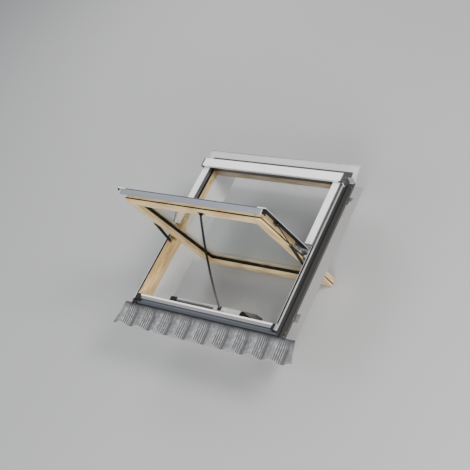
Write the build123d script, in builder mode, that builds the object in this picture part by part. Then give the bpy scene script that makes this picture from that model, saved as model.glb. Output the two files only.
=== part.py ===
from build123d import *
import os
from math import atan2, ceil, cos, degrees, hypot, radians, sin, tan

# A centre-pivot roof window, 1140 x 1178 mm, standing open.
# X runs across the window, Y up the roof slope and Z straight out of the roof.
# The origin is the middle of the four fixing screws, on the plane where the frame's
# mounting brackets lie on the roof battens. All sizes are in millimetres.

# Frame
frame_width = 1140.0
frame_length = 1178.0
shoulder_z = 70.0
frame_depth = 112.0
sheet = 1.2
thin_sheet = 0.8
fit_gap = 0.3
side_timber_width = 43.8
sill_timber_width = 41.0
head_timber_width = 28.0
timber_top_drop = 4.0
land_width = 17.0
ledge_drop = 33.0
ledge_width = 15.0
lower_ledge_drop = 55.0
timber_edge_radius = 2.0

# Sash and how far it stands open
opening_angle = 78.4
pivot_y = 16.0
pivot_above_cover = 35.0
cover_above_shoulder = 25.0
sash_side_gap = 4.0
sash_side_width = 57.5
sash_low_gap = 36.0
sash_high_gap = 49.0
sash_bottom_rail_width = 64.0
sash_top_rail_width = 61.0
sash_outer_drop = 7.0
sash_thickness = 56.0
sash_groove_height = 18.0
sash_groove_width = 4.0
sash_groove_depth = 4.0
sash_seal_reach = 2.5
sash_seal_play = 0.1

# Glazing
pane_thickness = 4.0
pane_gap = 15.0
glass_rebate = 14.0
glass_edge_gap = 3.0
spacer_width = 9.0
glass_drop = 7.0
bead_over_glass = 11.0
bead_height = 3.0

# Covers
cover_width = 52.0
cover_inset = 14.0
upper_cover_start = 32.0
cover_lip = 3.0
sash_cover_reach = 65.0
sash_cover_outset = 5.0
sash_cover_lip = 9.0
sash_cover_seal_thickness = 3.0
sash_cover_end = 9.0
sash_cover_end_depth = 19.0
bottom_cover_overhang = 17.0
bottom_cover_lap = 10.0
bottom_cover_depth = 45.0
bottom_cover_nose = 4.0
tip_height = 12.0
hood_rise = 46.0
hood_overlap = 66.0
hood_cover_lap = 20.0
hood_seal_height = 6.0
hood_seal_width = 8.0
hood_height = 18.0
hood_back_drop = 20.0
hood_edge_radius = 3.0
hood_skirt_thickness = 2.5
hood_skirt_end_z = 14.0
hood_skirt_rise = 30.0

# Cladding and seals of the frame
cladding_top_width = 10.0
cladding_wall = 4.0
seal_width = 5.0
seal_height = 6.0
trim_start = 120.0
trim_height = 30.0
sill_bead_radius = 3.5
sill_slope_drop = 17.0
sill_slope_end = 13.0
sill_front_drop = 32.0

# Hinge
hinge_radius = 90.0
hinge_groove_width = 10.4
hinge_shoe_width = 9.8
hinge_shoe_angle = 20.0
hinge_end_angle = 2.0
hinge_housing_length = 176.0
hinge_housing_thickness = 18.0
hinge_groove_depth = 8.5
hinge_wall = 6.0
hinge_plate_thickness = 3.4
hinge_plate_below = 106.0
hinge_plate_above = 96.0
hinge_plate_drop = 1.0
hinge_plate_radius = 6.0

# Gas springs
gas_frame_below_pivot = 117.0
gas_frame_drop = 20.0
gas_sash_v = -396.0
gas_sash_n = -49.5
gas_inset = 34.0
gas_cylinder_radius = 10.5
gas_cylinder_length = 228.0
gas_rod_inside = 28.0
gas_rod_radius = 4.0
gas_eye_radius = 8.0
gas_eye_width = 9.0
gas_stud_radius = 4.0
running_gap = 0.1
gas_knob_radius = 9.0
gas_knob_flat = 1.5
gas_nut_radius = 7.5
gas_plate_length = 40.0
gas_plate_width = 19.0
gas_plate_thickness = 3.0
gas_collar = 1.0
gas_collar_length = 9.0

# Chain drive
chain_x = 74.0
chain_bracket_offset = 32.0
chain_bracket_length = 44.0
chain_bracket_width = 26.0
chain_bracket_thickness = 3.0
chain_lug_length = 16.0
chain_lug_height = 12.0
chain_lug_thickness = 2.5
chain_pin_depth = 10.5
actuator_stand_off = 22.9
actuator_width = 38.0
actuator_top_drop = 64.0
actuator_height = 44.0
actuator_start_x = -335.0
end_block_length = 53.0
profile_end_x = 228.0
actuator_radius = 8.0
actuator_groove = 3.0
end_block_radius = 6.0
motor_box_start_x = 240.0
motor_box_end_x = 374.0
motor_box_slant = 32.0
motor_box_radius = 3.0
motor_neck = 6.0
box_oversize = 3.0
bracket_block_length = 34.0
outlet_length = 90.0
outlet_height = 9.0
outlet_radius = 5.0
outlet_margin = 2.0
outlet_cover_height = 3.0
chain_pitch = 25.4
chain_plate_height = 11.0
chain_plate_thickness = 1.6
chain_width = 12.0
chain_pin_radius = 2.2
chain_foot_height = 7.5
chain_sag = 20.0

# Flashing
gutter_floor_z = 3.4
gutter_width = 42.0
gutter_upstand = 13.0
gutter_hem = 7.0
flashing_overhang = 15.0
flashing_front_z = 36.0
front_inset = 3.0
nose_reach = 9.0
nose_depth = 3.0
nose_rise = 2.6
top_flashing_reach = 130.0
top_flashing_outset = 2.0
top_flashing_rise = 20.0
top_flashing_hem = 10.0
apron_side_reach = 146.0
apron_start = 4.0
apron_length = 164.0
apron_fall = 10.0
apron_taper = 40.0
apron_sheet = 1.0
wave_pitch = 150.0
wave_height = 26.0
pleat_pitch = 12.5
pleat_height = 4.0
pleats_per_wave = 5
points_per_wave = 7

# Brackets
bracket_thickness = 2.5
bracket_width = 60.0
bracket_foot = 73.0
bracket_rise = 34.0
bracket_hole_radius = 3.0
bracket_hole_reach = 55.0
bracket_inset = 139.0

# Lining
lining_thickness = 12.0
lining_depth = 202.0
lining_top_splay = 40.0
lining_bottom_splay = 30.0

cover_screw_inset = 14.0
cover_screw_radius = 4.5
cover_screw_height = 1.4

# Worked-out places
half_width = frame_width / 2
half_length = frame_length / 2
bracket_spacing_x = frame_width + 2 * bracket_hole_reach
bracket_spacing_y = frame_length - 2 * bracket_inset
sash_bottom = half_length - sash_low_gap
sash_top = half_length - sash_high_gap
sash_cover_inner = half_width - sash_cover_reach
bottom_cover_reach = half_length + bottom_cover_overhang
hood_front = half_length - hood_overlap
gas_frame_y = pivot_y - gas_frame_below_pivot
gas_offset_x = half_width - gas_inset
chain_bracket_v = chain_bracket_offset - sash_bottom
flashing_start = -half_length - flashing_overhang
front_width = frame_width - 2 * front_inset
nose_y = -half_length - nose_reach
apron_half_width = half_width + apron_side_reach
apron_top_y = -half_length - apron_start
apron_bottom_y = apron_top_y - apron_length
cover_z = shoulder_z + cover_above_shoulder
pivot_z = cover_z + pivot_above_cover
frame_bottom_z = shoulder_z - frame_depth
timber_outer_x = half_width - sheet - thin_sheet - 3 * fit_gap
timber_inner_x = timber_outer_x - side_timber_width
timber_top_z = shoulder_z - timber_top_drop
rebate_x = timber_outer_x - land_width
ledge_z = shoulder_z - ledge_drop
ledge_x = rebate_x - ledge_width
lower_ledge_z = shoulder_z - lower_ledge_drop
timber_end_y = half_length - sheet - fit_gap
sill_inner_y = -timber_end_y + sill_timber_width + 2 * fit_gap
actuator_near_y = sill_inner_y + actuator_stand_off
head_inner_y = timber_end_y - head_timber_width
cover_inner_x = half_width - cover_inset - cover_width
cover_outer_x = half_width - cover_inset
sash_x = timber_inner_x - sash_side_gap
sash_opening_x = sash_x - sash_side_width
sash_out_n = -pivot_above_cover - sash_outer_drop
sash_in_n = sash_out_n - sash_thickness
groove_n = sash_in_n + sash_groove_height
glass_out_n = -pivot_above_cover - glass_drop
glass_in_n = glass_out_n - 2 * pane_thickness - pane_gap
bottom_opening_v = -sash_bottom + sash_bottom_rail_width
top_opening_v = sash_top - sash_top_rail_width

# The sash's own plane: its x runs across, its y from the bottom rail to the top rail
# and its z out of the outer face, with its origin on the pivot axis.
sash_plane = Plane(
    origin=(0, pivot_y, pivot_z),
    x_dir=(1, 0, 0),
    z_dir=(0, sin(radians(opening_angle)), cos(radians(opening_angle))),
)
sides = (("left", -1), ("right", 1))

os.makedirs("parts", exist_ok=True)


def across(base, x=0.0):
    """A plane to draw (up the slope, outward) on, facing +X, at x in the base plane."""
    return Plane(origin=base.from_local_coords((x, 0, 0)), x_dir=base.y_dir, z_dir=base.x_dir)


def along(base, y=0.0):
    """A plane to draw (across, outward) on, facing down the slope, at y in the base plane."""
    return Plane(origin=base.from_local_coords((0, y, 0)), x_dir=base.x_dir, z_dir=-base.y_dir)


def sideways(points, sign):
    """The same outline on the left or on the right of the middle."""
    return [(sign * x, z) for x, z in points]


# Frame timbers
for side, sign in sides:
    section = [
        (timber_outer_x, frame_bottom_z),
        (timber_outer_x, timber_top_z),
        (rebate_x, timber_top_z),
        (rebate_x, ledge_z),
        (ledge_x, ledge_z),
        (ledge_x, lower_ledge_z),
        (timber_inner_x, lower_ledge_z),
        (timber_inner_x, frame_bottom_z),
    ]
    with BuildPart() as frame_side:
        with BuildSketch(along(Plane.XY, timber_end_y)):
            with BuildLine():
                Polyline(*sideways(section, sign), close=True)
            make_face()
        extrude(amount=2 * timber_end_y)
        long_edges = frame_side.edges().filter_by(Axis.Y)
        inner_edges = long_edges.sort_by(Axis((0, 0, 0), (sign, 0, 0)))[:2]
        fillet(inner_edges.sort_by(Axis.Z)[-1], radius=timber_edge_radius)
        # pocket that takes the hinge housing
        with BuildSketch(across(Plane.XY, sign * (ledge_x - fit_gap))):
            with Locations((pivot_y, ledge_z)):
                Rectangle(hinge_housing_length + 2 * fit_gap, 2 * hinge_wall + 3 * hinge_groove_width)
        extrude(amount=sign * (rebate_x - ledge_x + fit_gap), mode=Mode.SUBTRACT)
        # recesses that take the mounting brackets
        with BuildSketch(across(Plane.XY, sign * timber_outer_x)):
            with Locations((-bracket_spacing_y / 2, 0), (bracket_spacing_y / 2, 0)):
                Rectangle(bracket_width + 2 * fit_gap, 2 * (bracket_rise + fit_gap))
        extrude(amount=-sign * bracket_thickness, mode=Mode.SUBTRACT)
    frame_side.part.label = f"frame_side_{side}"
    export_step(frame_side.part, f"parts/frame_side_{side}.step")

with BuildPart() as frame_head:
    with BuildSketch(across(Plane.XY, -timber_inner_x)):
        with BuildLine():
            Polyline(
                (head_inner_y, frame_bottom_z),
                (head_inner_y, timber_top_z),
                (timber_end_y, timber_top_z),
                (timber_end_y, frame_bottom_z),
                close=True,
            )
        make_face()
    extrude(amount=2 * timber_inner_x)
    head_edge = frame_head.edges().filter_by(Axis.X).sort_by(Axis.Y)[:2].sort_by(Axis.Z)[-1]
    fillet(head_edge, radius=timber_edge_radius)
frame_head.part.label = "frame_head"
export_step(frame_head.part, "parts/frame_head.step")

sill_top_z = shoulder_z - 2 * sill_bead_radius - fit_gap
sill_front_z = shoulder_z - sill_front_drop - sheet
with BuildPart() as frame_sill:
    with BuildSketch(across(Plane.XY, -timber_inner_x)):
        with BuildLine():
            Polyline(
                (sill_inner_y, frame_bottom_z),
                (sill_inner_y, sill_top_z - 2 * timber_edge_radius),
                (sill_inner_y - timber_edge_radius, sill_top_z),
                (sill_inner_y - 2 * sill_bead_radius, sill_top_z),
                (-timber_end_y, sill_front_z - sheet),
                (-timber_end_y, frame_bottom_z),
                close=True,
            )
        make_face()
    extrude(amount=2 * timber_inner_x)
frame_sill.part.label = "frame_sill"
export_step(frame_sill.part, "parts/frame_sill.step")

# Blocks that close the side recesses at the lower corners
land_end_x = half_width - cladding_top_width - fit_gap
plate_top_z = timber_top_z - fit_gap
plate_x = (timber_inner_x + timber_outer_x) / 2
plate_z = (flashing_front_z + plate_top_z) / 2
with BuildPart() as corner_blocks:
    for side, sign in sides:
        with BuildSketch(along(Plane.XY, sill_inner_y)):
            with BuildLine():
                Polyline(
                    *sideways(
                        [
                            (rebate_x, ledge_z),
                            (rebate_x, timber_top_z),
                            (land_end_x, timber_top_z),
                            (land_end_x, shoulder_z),
                            (timber_inner_x, shoulder_z),
                            (timber_inner_x, lower_ledge_z),
                            (ledge_x, lower_ledge_z),
                            (ledge_x, ledge_z),
                        ],
                        sign,
                    ),
                    close=True,
                )
            make_face()
        extrude(amount=sill_inner_y + timber_end_y)
        with BuildSketch(along(Plane.XY, -timber_end_y)):
            with Locations((sign * plate_x, plate_z)):
                Rectangle(side_timber_width, plate_top_z - flashing_front_z)
        extrude(amount=sheet)
    top_edges = corner_blocks.faces().group_by(Axis.Z)[-1].edges().filter_by(Axis.X).group_by(Axis.Y)[-1]
    fillet(top_edges, radius=timber_edge_radius)
corner_blocks.part.label = "corner_blocks"
export_step(corner_blocks.part, "parts/corner_blocks.step")

# Aluminium cladding and rubber seals of the frame
for side, sign in sides:
    with BuildPart() as side_cladding:
        with BuildSketch(along(Plane.XY, half_length)):
            with BuildLine():
                Polyline(
                    *sideways(
                        [
                            (half_width, shoulder_z - cladding_wall),
                            (half_width, shoulder_z),
                            (half_width - cladding_top_width, shoulder_z),
                            (half_width - cladding_top_width, timber_top_z),
                            (half_width - cladding_top_width + sheet, timber_top_z),
                            (half_width - cladding_top_width + sheet, shoulder_z - sheet),
                            (half_width - sheet, shoulder_z - sheet),
                            (half_width - sheet, shoulder_z - cladding_wall),
                        ],
                        sign,
                    ),
                    close=True,
                )
            make_face()
        extrude(amount=frame_length)
    side_cladding.part.label = f"side_cladding_{side}"
    export_step(side_cladding.part, f"parts/side_cladding_{side}.step")

seal_x = half_width - cladding_top_width - fit_gap - seal_width / 2
with BuildPart() as frame_seals:
    with BuildSketch(along(Plane.XY, upper_cover_start)):
        with Locations((-seal_x, timber_top_z + seal_height / 2), (seal_x, timber_top_z + seal_height / 2)):
            Rectangle(seal_width, seal_height)
        with Locations((-seal_x, timber_top_z + seal_height), (seal_x, timber_top_z + seal_height)):
            Circle(seal_width / 2)
    extrude(amount=upper_cover_start - sill_inner_y)
frame_seals.part.label = "frame_seals"
export_step(frame_seals.part, "parts/frame_seals.step")

bead_y = sill_inner_y - sill_bead_radius - fit_gap
bead_z = shoulder_z - sill_bead_radius
slope_end_y = -half_length + sill_slope_end
slope_end_z = shoulder_z - sill_slope_drop - sill_bead_radius
with BuildPart() as sill_cladding:
    with BuildSketch(across(Plane.XY, -timber_inner_x + fit_gap)):
        with BuildLine():
            Polyline(
                (bead_y, shoulder_z),
                (slope_end_y, slope_end_z + sill_bead_radius),
                (slope_end_y, slope_end_z - sill_bead_radius),
                (-half_length, sill_front_z + sheet),
                (-half_length, sill_front_z - 3 * sill_bead_radius),
                (-half_length + sheet, sill_front_z - 3 * sill_bead_radius),
                (-half_length + sheet, sill_front_z),
                (slope_end_y + sheet, slope_end_z - sill_bead_radius),
                (slope_end_y + sheet, slope_end_z + sill_bead_radius - sheet),
                (bead_y, shoulder_z - sheet),
                close=True,
            )
        make_face()
        with Locations((bead_y, bead_z)):
            Circle(sill_bead_radius)
        with Locations((bead_y, bead_z)):
            Circle(sill_bead_radius - sheet, mode=Mode.SUBTRACT)
    extrude(amount=2 * (timber_inner_x - fit_gap))
sill_cladding.part.label = "sill_cladding"
export_step(sill_cladding.part, "parts/sill_cladding.step")

# Covers of the upper half, fixed to the frame, with the trim and seal below them
cover_length = hood_front + hood_cover_lap - upper_cover_start
for side, sign in sides:
    with BuildPart() as upper_cover:
        with BuildSketch(along(Plane.XY, upper_cover_start + cover_length)):
            with BuildLine():
                Polyline(
                    *sideways(
                        [
                            (cover_inner_x, cover_z - cover_lip),
                            (cover_inner_x, cover_z),
                            (cover_outer_x, cover_z),
                            (cover_outer_x, timber_top_z + fit_gap),
                            (cover_outer_x - sheet, timber_top_z + fit_gap),
                            (cover_outer_x - sheet, cover_z - sheet),
                            (cover_inner_x + sheet, cover_z - sheet),
                            (cover_inner_x + sheet, cover_z - cover_lip),
                        ],
                        sign,
                    ),
                    close=True,
                )
            make_face()
        extrude(amount=cover_length)
    upper_cover.part.label = f"upper_cover_{side}"
    export_step(upper_cover.part, f"parts/upper_cover_{side}.step")

with BuildPart() as upper_trims:
    for side, sign in sides:
        with BuildSketch(along(Plane.XY, head_inner_y)):
            with BuildLine():
                Polyline(
                    *sideways(
                        [
                            (rebate_x, ledge_z),
                            (timber_inner_x, ledge_z),
                            (timber_inner_x, ledge_z + trim_height / 2),
                            (timber_inner_x + sheet, ledge_z + trim_height / 2),
                            (timber_inner_x + sheet, ledge_z + trim_height),
                            (rebate_x, ledge_z + trim_height),
                            (rebate_x, ledge_z + trim_height - sheet),
                            (timber_inner_x + 2 * sheet, ledge_z + trim_height - sheet),
                            (timber_inner_x + 2 * sheet, ledge_z + sheet),
                            (rebate_x, ledge_z + sheet),
                        ],
                        sign,
                    ),
                    close=True,
                )
            make_face()
        extrude(amount=head_inner_y - trim_start)
upper_trims.part.label = "upper_trims"
export_step(upper_trims.part, "parts/upper_trims.step")

hood_top_z = shoulder_z + hood_rise
hood_seal_z = hood_top_z - hood_height + hood_seal_height / 4
with BuildPart() as upper_seals:
    with BuildSketch(along(Plane.XY, head_inner_y)):
        seal_middle_x = (timber_inner_x + ledge_x) / 2
        seal_middle_z = (lower_ledge_z + ledge_z) / 2
        with Locations((-seal_middle_x, seal_middle_z), (seal_middle_x, seal_middle_z)):
            Rectangle(ledge_x - timber_inner_x, ledge_z - lower_ledge_z)
    extrude(amount=head_inner_y - trim_start)
    with BuildSketch(across(Plane.XY, -cover_inner_x)):
        with Locations((hood_front + sheet + hood_seal_width / 2, hood_seal_z)):
            Rectangle(hood_seal_width, hood_seal_height)
    extrude(amount=2 * cover_inner_x)
upper_seals.part.label = "upper_seals"
export_step(upper_seals.part, "parts/upper_seals.step")

# Hood over the head of the window
hood_half = half_width - cladding_top_width - fit_gap
hood_cap_x = half_width + fit_gap + hood_skirt_thickness
with BuildPart() as top_hood:
    with BuildSketch(across(Plane.XY, -hood_half)):
        with BuildLine():
            Polyline(
                (hood_front, hood_top_z - hood_height),
                (hood_front, hood_top_z),
                (half_length, hood_top_z),
                (half_length, shoulder_z - hood_back_drop),
                (half_length - sheet, shoulder_z - hood_back_drop),
                (half_length - sheet, hood_top_z - sheet),
                (hood_front + sheet, hood_top_z - sheet),
                (hood_front + sheet, hood_top_z - hood_height),
                close=True,
            )
        make_face()
    extrude(amount=2 * hood_half)
    outer_edges = top_hood.faces().sort_by(Axis.Z)[-1].edges().filter_by(Axis.X)
    fillet(outer_edges, radius=sheet / 2)
top_hood.part.label = "top_hood"
export_step(top_hood.part, "parts/top_hood.step")

for side, sign in sides:
    with BuildPart() as hood_cap:
        with BuildSketch(across(Plane.XY, sign * hood_half)):
            with BuildLine():
                Polyline(
                    (hood_front, shoulder_z + fit_gap),
                    (hood_front, hood_top_z),
                    (half_length, hood_top_z),
                    (half_length, shoulder_z + fit_gap),
                    close=True,
                )
            make_face()
        extrude(amount=sign * (hood_cap_x - hood_half))
        with BuildSketch(across(Plane.XY, sign * (half_width + fit_gap))):
            with BuildLine():
                Polyline(
                    (hood_front, hood_top_z - hood_height),
                    (hood_front, hood_skirt_end_z + hood_skirt_rise),
                    (half_length - fit_gap, hood_skirt_end_z),
                    (half_length - fit_gap, hood_top_z - hood_height),
                    close=True,
                )
            make_face()
        extrude(amount=sign * hood_skirt_thickness)
        cap_edges = hood_cap.faces().sort_by(Axis.Z)[-1].edges().filter_by(Axis.Y)
        fillet(cap_edges.sort_by(Axis((0, 0, 0), (sign, 0, 0)))[-1], radius=hood_edge_radius)
    hood_cap.part.label = f"hood_cap_{side}"
    export_step(hood_cap.part, f"parts/hood_cap_{side}.step")

# Brackets that carry the frame on the battens
with BuildPart() as mounting_brackets:
    for side, sign in sides:
        for y in (-bracket_spacing_y / 2, bracket_spacing_y / 2):
            with BuildSketch(along(Plane.XY, y + bracket_width / 2)):
                with BuildLine():
                    Polyline(
                        *sideways(
                            [
                                (timber_outer_x - bracket_thickness, bracket_rise),
                                (timber_outer_x - bracket_thickness, 0),
                                (timber_outer_x + bracket_foot, 0),
                                (timber_outer_x + bracket_foot, bracket_thickness),
                                (timber_outer_x, bracket_thickness),
                                (timber_outer_x, bracket_rise),
                            ],
                            sign,
                        ),
                        close=True,
                    )
                make_face()
            extrude(amount=bracket_width)
    with BuildSketch(Plane.XY):
        with GridLocations(bracket_spacing_x, bracket_spacing_y, 2, 2):
            Circle(bracket_hole_radius)
    extrude(amount=bracket_thickness, mode=Mode.SUBTRACT)
mounting_brackets.part.label = "mounting_brackets"
export_step(mounting_brackets.part, "parts/mounting_brackets.step")

# Flashing round the frame
for side, sign in sides:
    upstand_x = timber_outer_x + fit_gap
    floor_x = half_width + gutter_width
    with BuildPart() as side_flashing:
        with BuildSketch(along(Plane.XY, half_length)):
            with BuildLine():
                Polyline(
                    *sideways(
                        [
                            (upstand_x, shoulder_z - sheet - 2 * fit_gap),
                            (upstand_x, gutter_floor_z),
                            (floor_x, gutter_floor_z),
                            (floor_x, gutter_floor_z + gutter_upstand),
                            (floor_x - gutter_hem, gutter_floor_z + gutter_upstand),
                            (floor_x - gutter_hem, gutter_floor_z + gutter_upstand - thin_sheet),
                            (floor_x - thin_sheet, gutter_floor_z + gutter_upstand - thin_sheet),
                            (floor_x - thin_sheet, gutter_floor_z + thin_sheet),
                            (upstand_x + thin_sheet, gutter_floor_z + thin_sheet),
                            (upstand_x + thin_sheet, shoulder_z - sheet - 2 * fit_gap),
                        ],
                        sign,
                    ),
                    close=True,
                )
            make_face()
        extrude(amount=half_length - flashing_start)
    side_flashing.part.label = f"side_flashing_{side}"
    export_step(side_flashing.part, f"parts/side_flashing_{side}.step")

top_flashing_half = half_width + gutter_width + top_flashing_outset
top_near_y = half_length + fit_gap
top_far_y = half_length + top_flashing_reach
top_near_z = gutter_floor_z + gutter_upstand + fit_gap
top_far_z = top_near_z + top_flashing_rise
with BuildPart() as top_flashing:
    with BuildSketch(across(Plane.XY, -top_flashing_half)):
        with BuildLine():
            Polyline(
                (top_near_y, shoulder_z - fit_gap),
                (top_near_y, top_near_z),
                (top_far_y, top_far_z),
                (top_far_y, top_far_z + top_flashing_hem),
                (top_far_y - thin_sheet, top_far_z + top_flashing_hem),
                (top_far_y - thin_sheet, top_far_z + sheet),
                (top_near_y + thin_sheet, top_near_z + sheet),
                (top_near_y + thin_sheet, shoulder_z - fit_gap),
                close=True,
            )
        make_face()
    extrude(amount=2 * top_flashing_half)
    for side, sign in sides:
        with BuildSketch(across(Plane.XY, sign * top_flashing_half)):
            with BuildLine():
                Polyline(
                    (top_near_y, top_near_z),
                    (top_far_y, top_far_z),
                    (top_far_y, top_far_z + top_flashing_hem),
                    (top_near_y, top_near_z + top_flashing_hem),
                    close=True,
                )
            make_face()
        extrude(amount=-sign * thin_sheet)
top_flashing.part.label = "top_flashing"
export_step(top_flashing.part, "parts/top_flashing.step")

front_y = -half_length - fit_gap
with BuildPart() as sill_flashing:
    with BuildSketch(across(Plane.XY, -front_width / 2)):
        with BuildLine():
            Polyline(
                (front_y, flashing_front_z),
                (front_y - sheet, flashing_front_z),
                (front_y - 3 * sheet, gutter_floor_z + gutter_upstand),
                (nose_y + nose_depth, gutter_floor_z + gutter_hem),
                (nose_y, gutter_floor_z + nose_rise + sheet),
                (nose_y, gutter_floor_z + nose_rise),
                (nose_y + nose_depth, gutter_floor_z + gutter_hem - sheet),
                (front_y - 2 * sheet, gutter_floor_z + gutter_upstand - sheet),
                (front_y, gutter_floor_z + gutter_upstand),
                close=True,
            )
        make_face()
    extrude(amount=front_width)
sill_flashing.part.label = "sill_flashing"
export_step(sill_flashing.part, "parts/sill_flashing.step")


def apron_edge():
    """The apron's profile across the roof: long waves with a group of narrow pleats in each."""
    points = []
    count = ceil(2 * apron_half_width / wave_pitch)
    group = pleats_per_wave * pleat_pitch
    for wave in range(count):
        start = -apron_half_width + wave * wave_pitch
        for step in range(points_per_wave - 2):
            share = step / points_per_wave
            points.append((start + share * wave_pitch, wave_height * (1 - cos(radians(360 * share))) / 2))
        for pleat in range(pleats_per_wave):
            x = start + wave_pitch - group + pleat * pleat_pitch
            share = (x - start) / wave_pitch
            z = wave_height * (1 - cos(radians(360 * share))) / 2
            points.append((x, z))
            points.append((x + pleat_pitch / 2, z + pleat_height))
    inside = [point for point in points if point[0] < apron_half_width]
    return inside + [(apron_half_width, inside[-1][1])]


# Pleated apron that lies on the roof below the window
apron_top_z = gutter_floor_z - max(z for x, z in apron_edge()) - apron_sheet - fit_gap
with BuildPart() as apron:
    with BuildSketch(along(Plane.XY, apron_top_y)):
        with BuildLine():
            upper = [(x, apron_top_z + z + apron_sheet) for x, z in apron_edge()]
            lower = [(x, apron_top_z + z) for x, z in apron_edge()]
            Polyline(*upper, *reversed(lower), close=True)
        make_face()
    extrude(amount=apron_length, dir=(0, -apron_length, -apron_fall))
    for side, sign in sides:
        with BuildSketch(Plane.XY.offset(apron_top_z - 2 * wave_height)):
            with BuildLine():
                Polyline(
                    (sign * (apron_half_width - apron_taper), apron_top_y + 1),
                    (sign * (apron_half_width + 1), apron_top_y + 1),
                    (sign * (apron_half_width + 1), apron_bottom_y),
                    (sign * apron_half_width, apron_bottom_y),
                    close=True,
                )
            make_face()
        extrude(amount=4 * wave_height, mode=Mode.SUBTRACT)
apron.part.label = "apron"
export_step(apron.part, "parts/apron.step")

# Lining boards from the frame into the room
lining_end_z = frame_bottom_z - lining_depth
top_splay = lining_depth * tan(radians(lining_top_splay))
bottom_splay = lining_depth * tan(radians(lining_bottom_splay))
top_board_run = lining_thickness / cos(radians(lining_top_splay))
bottom_board_run = lining_thickness / cos(radians(lining_bottom_splay))
for side, sign in sides:
    with BuildPart() as lining_side:
        with BuildSketch(across(Plane.XY, sign * timber_inner_x)):
            with BuildLine():
                Polyline(
                    (sill_inner_y - bottom_board_run, frame_bottom_z),
                    (head_inner_y + top_board_run, frame_bottom_z),
                    (head_inner_y + top_board_run + top_splay, lining_end_z),
                    (sill_inner_y - bottom_board_run - bottom_splay, lining_end_z),
                    close=True,
                )
            make_face()
        extrude(amount=sign * lining_thickness)
    lining_side.part.label = f"lining_{side}"
    export_step(lining_side.part, f"parts/lining_{side}.step")

for place, inner_y, board_run, splay in (
    ("top", head_inner_y, top_board_run, top_splay),
    ("bottom", sill_inner_y, -bottom_board_run, -bottom_splay),
):
    with BuildPart() as lining_end:
        with BuildSketch(across(Plane.XY, -timber_inner_x)):
            with BuildLine():
                Polyline(
                    (inner_y, frame_bottom_z),
                    (inner_y + board_run, frame_bottom_z),
                    (inner_y + board_run + splay, lining_end_z),
                    (inner_y + splay, lining_end_z),
                    close=True,
                )
            make_face()
        extrude(amount=2 * timber_inner_x)
    lining_end.part.label = f"lining_{place}"
    export_step(lining_end.part, f"parts/lining_{place}.step")

# Pivot hinges: a curved groove in the frame's housing holds a curved shoe on the sash,
# so that the sash turns about an axis that lies just outside its covers.
pivot_plane = Plane(origin=(0, pivot_y, pivot_z))
groove_half_angle = opening_angle / 2 + hinge_shoe_angle / 2 + hinge_end_angle


def pivot_arc(start, end):
    """An arc about the pivot, its angles counted from straight inward."""
    return CenterArc((0, 0), hinge_radius, start - 90, end - start)


housing_x = rebate_x - hinge_housing_thickness
housing_width = hinge_groove_width + 2 * hinge_wall
hinge_plate_height = sash_out_n - groove_n - sash_groove_width
hinge_plate_length = hinge_plate_above + hinge_plate_below
hinge_plate_n = sash_out_n - hinge_plate_height / 2 - hinge_plate_drop
shoe_middle = opening_angle / 2
housing_arc = pivot_arc(-groove_half_angle, groove_half_angle)
shoe_arc = pivot_arc(shoe_middle - hinge_shoe_angle / 2, shoe_middle + hinge_shoe_angle / 2)
for side, sign in sides:
    with BuildPart() as hinge_housing:
        with BuildSketch(across(pivot_plane, sign * housing_x)):
            SlotArc(housing_arc, housing_width)
            with Locations((0, ledge_z - pivot_z)):
                Rectangle(hinge_housing_length, 2 * hinge_wall + 3 * hinge_groove_width - 2 * fit_gap)
        extrude(amount=sign * hinge_housing_thickness)
        with BuildSketch(across(pivot_plane, sign * housing_x)):
            SlotArc(housing_arc, hinge_groove_width)
        extrude(amount=sign * hinge_groove_depth, mode=Mode.SUBTRACT)
    hinge_housing.part.label = f"hinge_housing_{side}"
    export_step(hinge_housing.part, f"parts/hinge_housing_{side}.step")

    with BuildPart() as hinge_shoe:
        with BuildSketch(across(sash_plane, sign * sash_x)):
            with Locations(((hinge_plate_above - hinge_plate_below) / 2, hinge_plate_n)):
                RectangleRounded(hinge_plate_length, hinge_plate_height, hinge_plate_radius)
        extrude(amount=sign * hinge_plate_thickness)
        with BuildSketch(across(sash_plane, sign * sash_x)):
            SlotArc(shoe_arc, hinge_shoe_width)
        extrude(amount=sign * (housing_x + hinge_groove_depth - fit_gap - sash_x))
    hinge_shoe.part.label = f"hinge_shoe_{side}"
    export_step(hinge_shoe.part, f"parts/hinge_shoe_{side}.step")

# Sash timbers, with a groove for the seal cut all round them
sash_middle_v = (sash_top - sash_bottom) / 2
seal_length = sash_top + sash_bottom
groove_across = 2 * (sash_x - sash_groove_depth)
groove_along = seal_length - 2 * sash_groove_depth
for side, sign in sides:
    side_section = [
        (sash_opening_x, sash_in_n),
        (sash_opening_x, glass_in_n),
        (sash_opening_x + glass_rebate, glass_in_n),
        (sash_opening_x + glass_rebate, sash_out_n),
        (sash_x, sash_out_n),
        (sash_x, sash_in_n),
    ]
    with BuildPart() as sash_side:
        with BuildSketch(along(sash_plane, sash_top)):
            with BuildLine():
                Polyline(*sideways(side_section, sign), close=True)
            make_face()
        extrude(amount=seal_length)
        with BuildSketch(sash_plane.offset(groove_n - sash_groove_width / 2)):
            with Locations((0, sash_middle_v)):
                Rectangle(2 * frame_width, 2 * frame_length)
                Rectangle(groove_across, groove_along, mode=Mode.SUBTRACT)
        extrude(amount=sash_groove_width, mode=Mode.SUBTRACT)
    sash_side.part.label = f"sash_side_{side}"
    export_step(sash_side.part, f"parts/sash_side_{side}.step")

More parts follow.
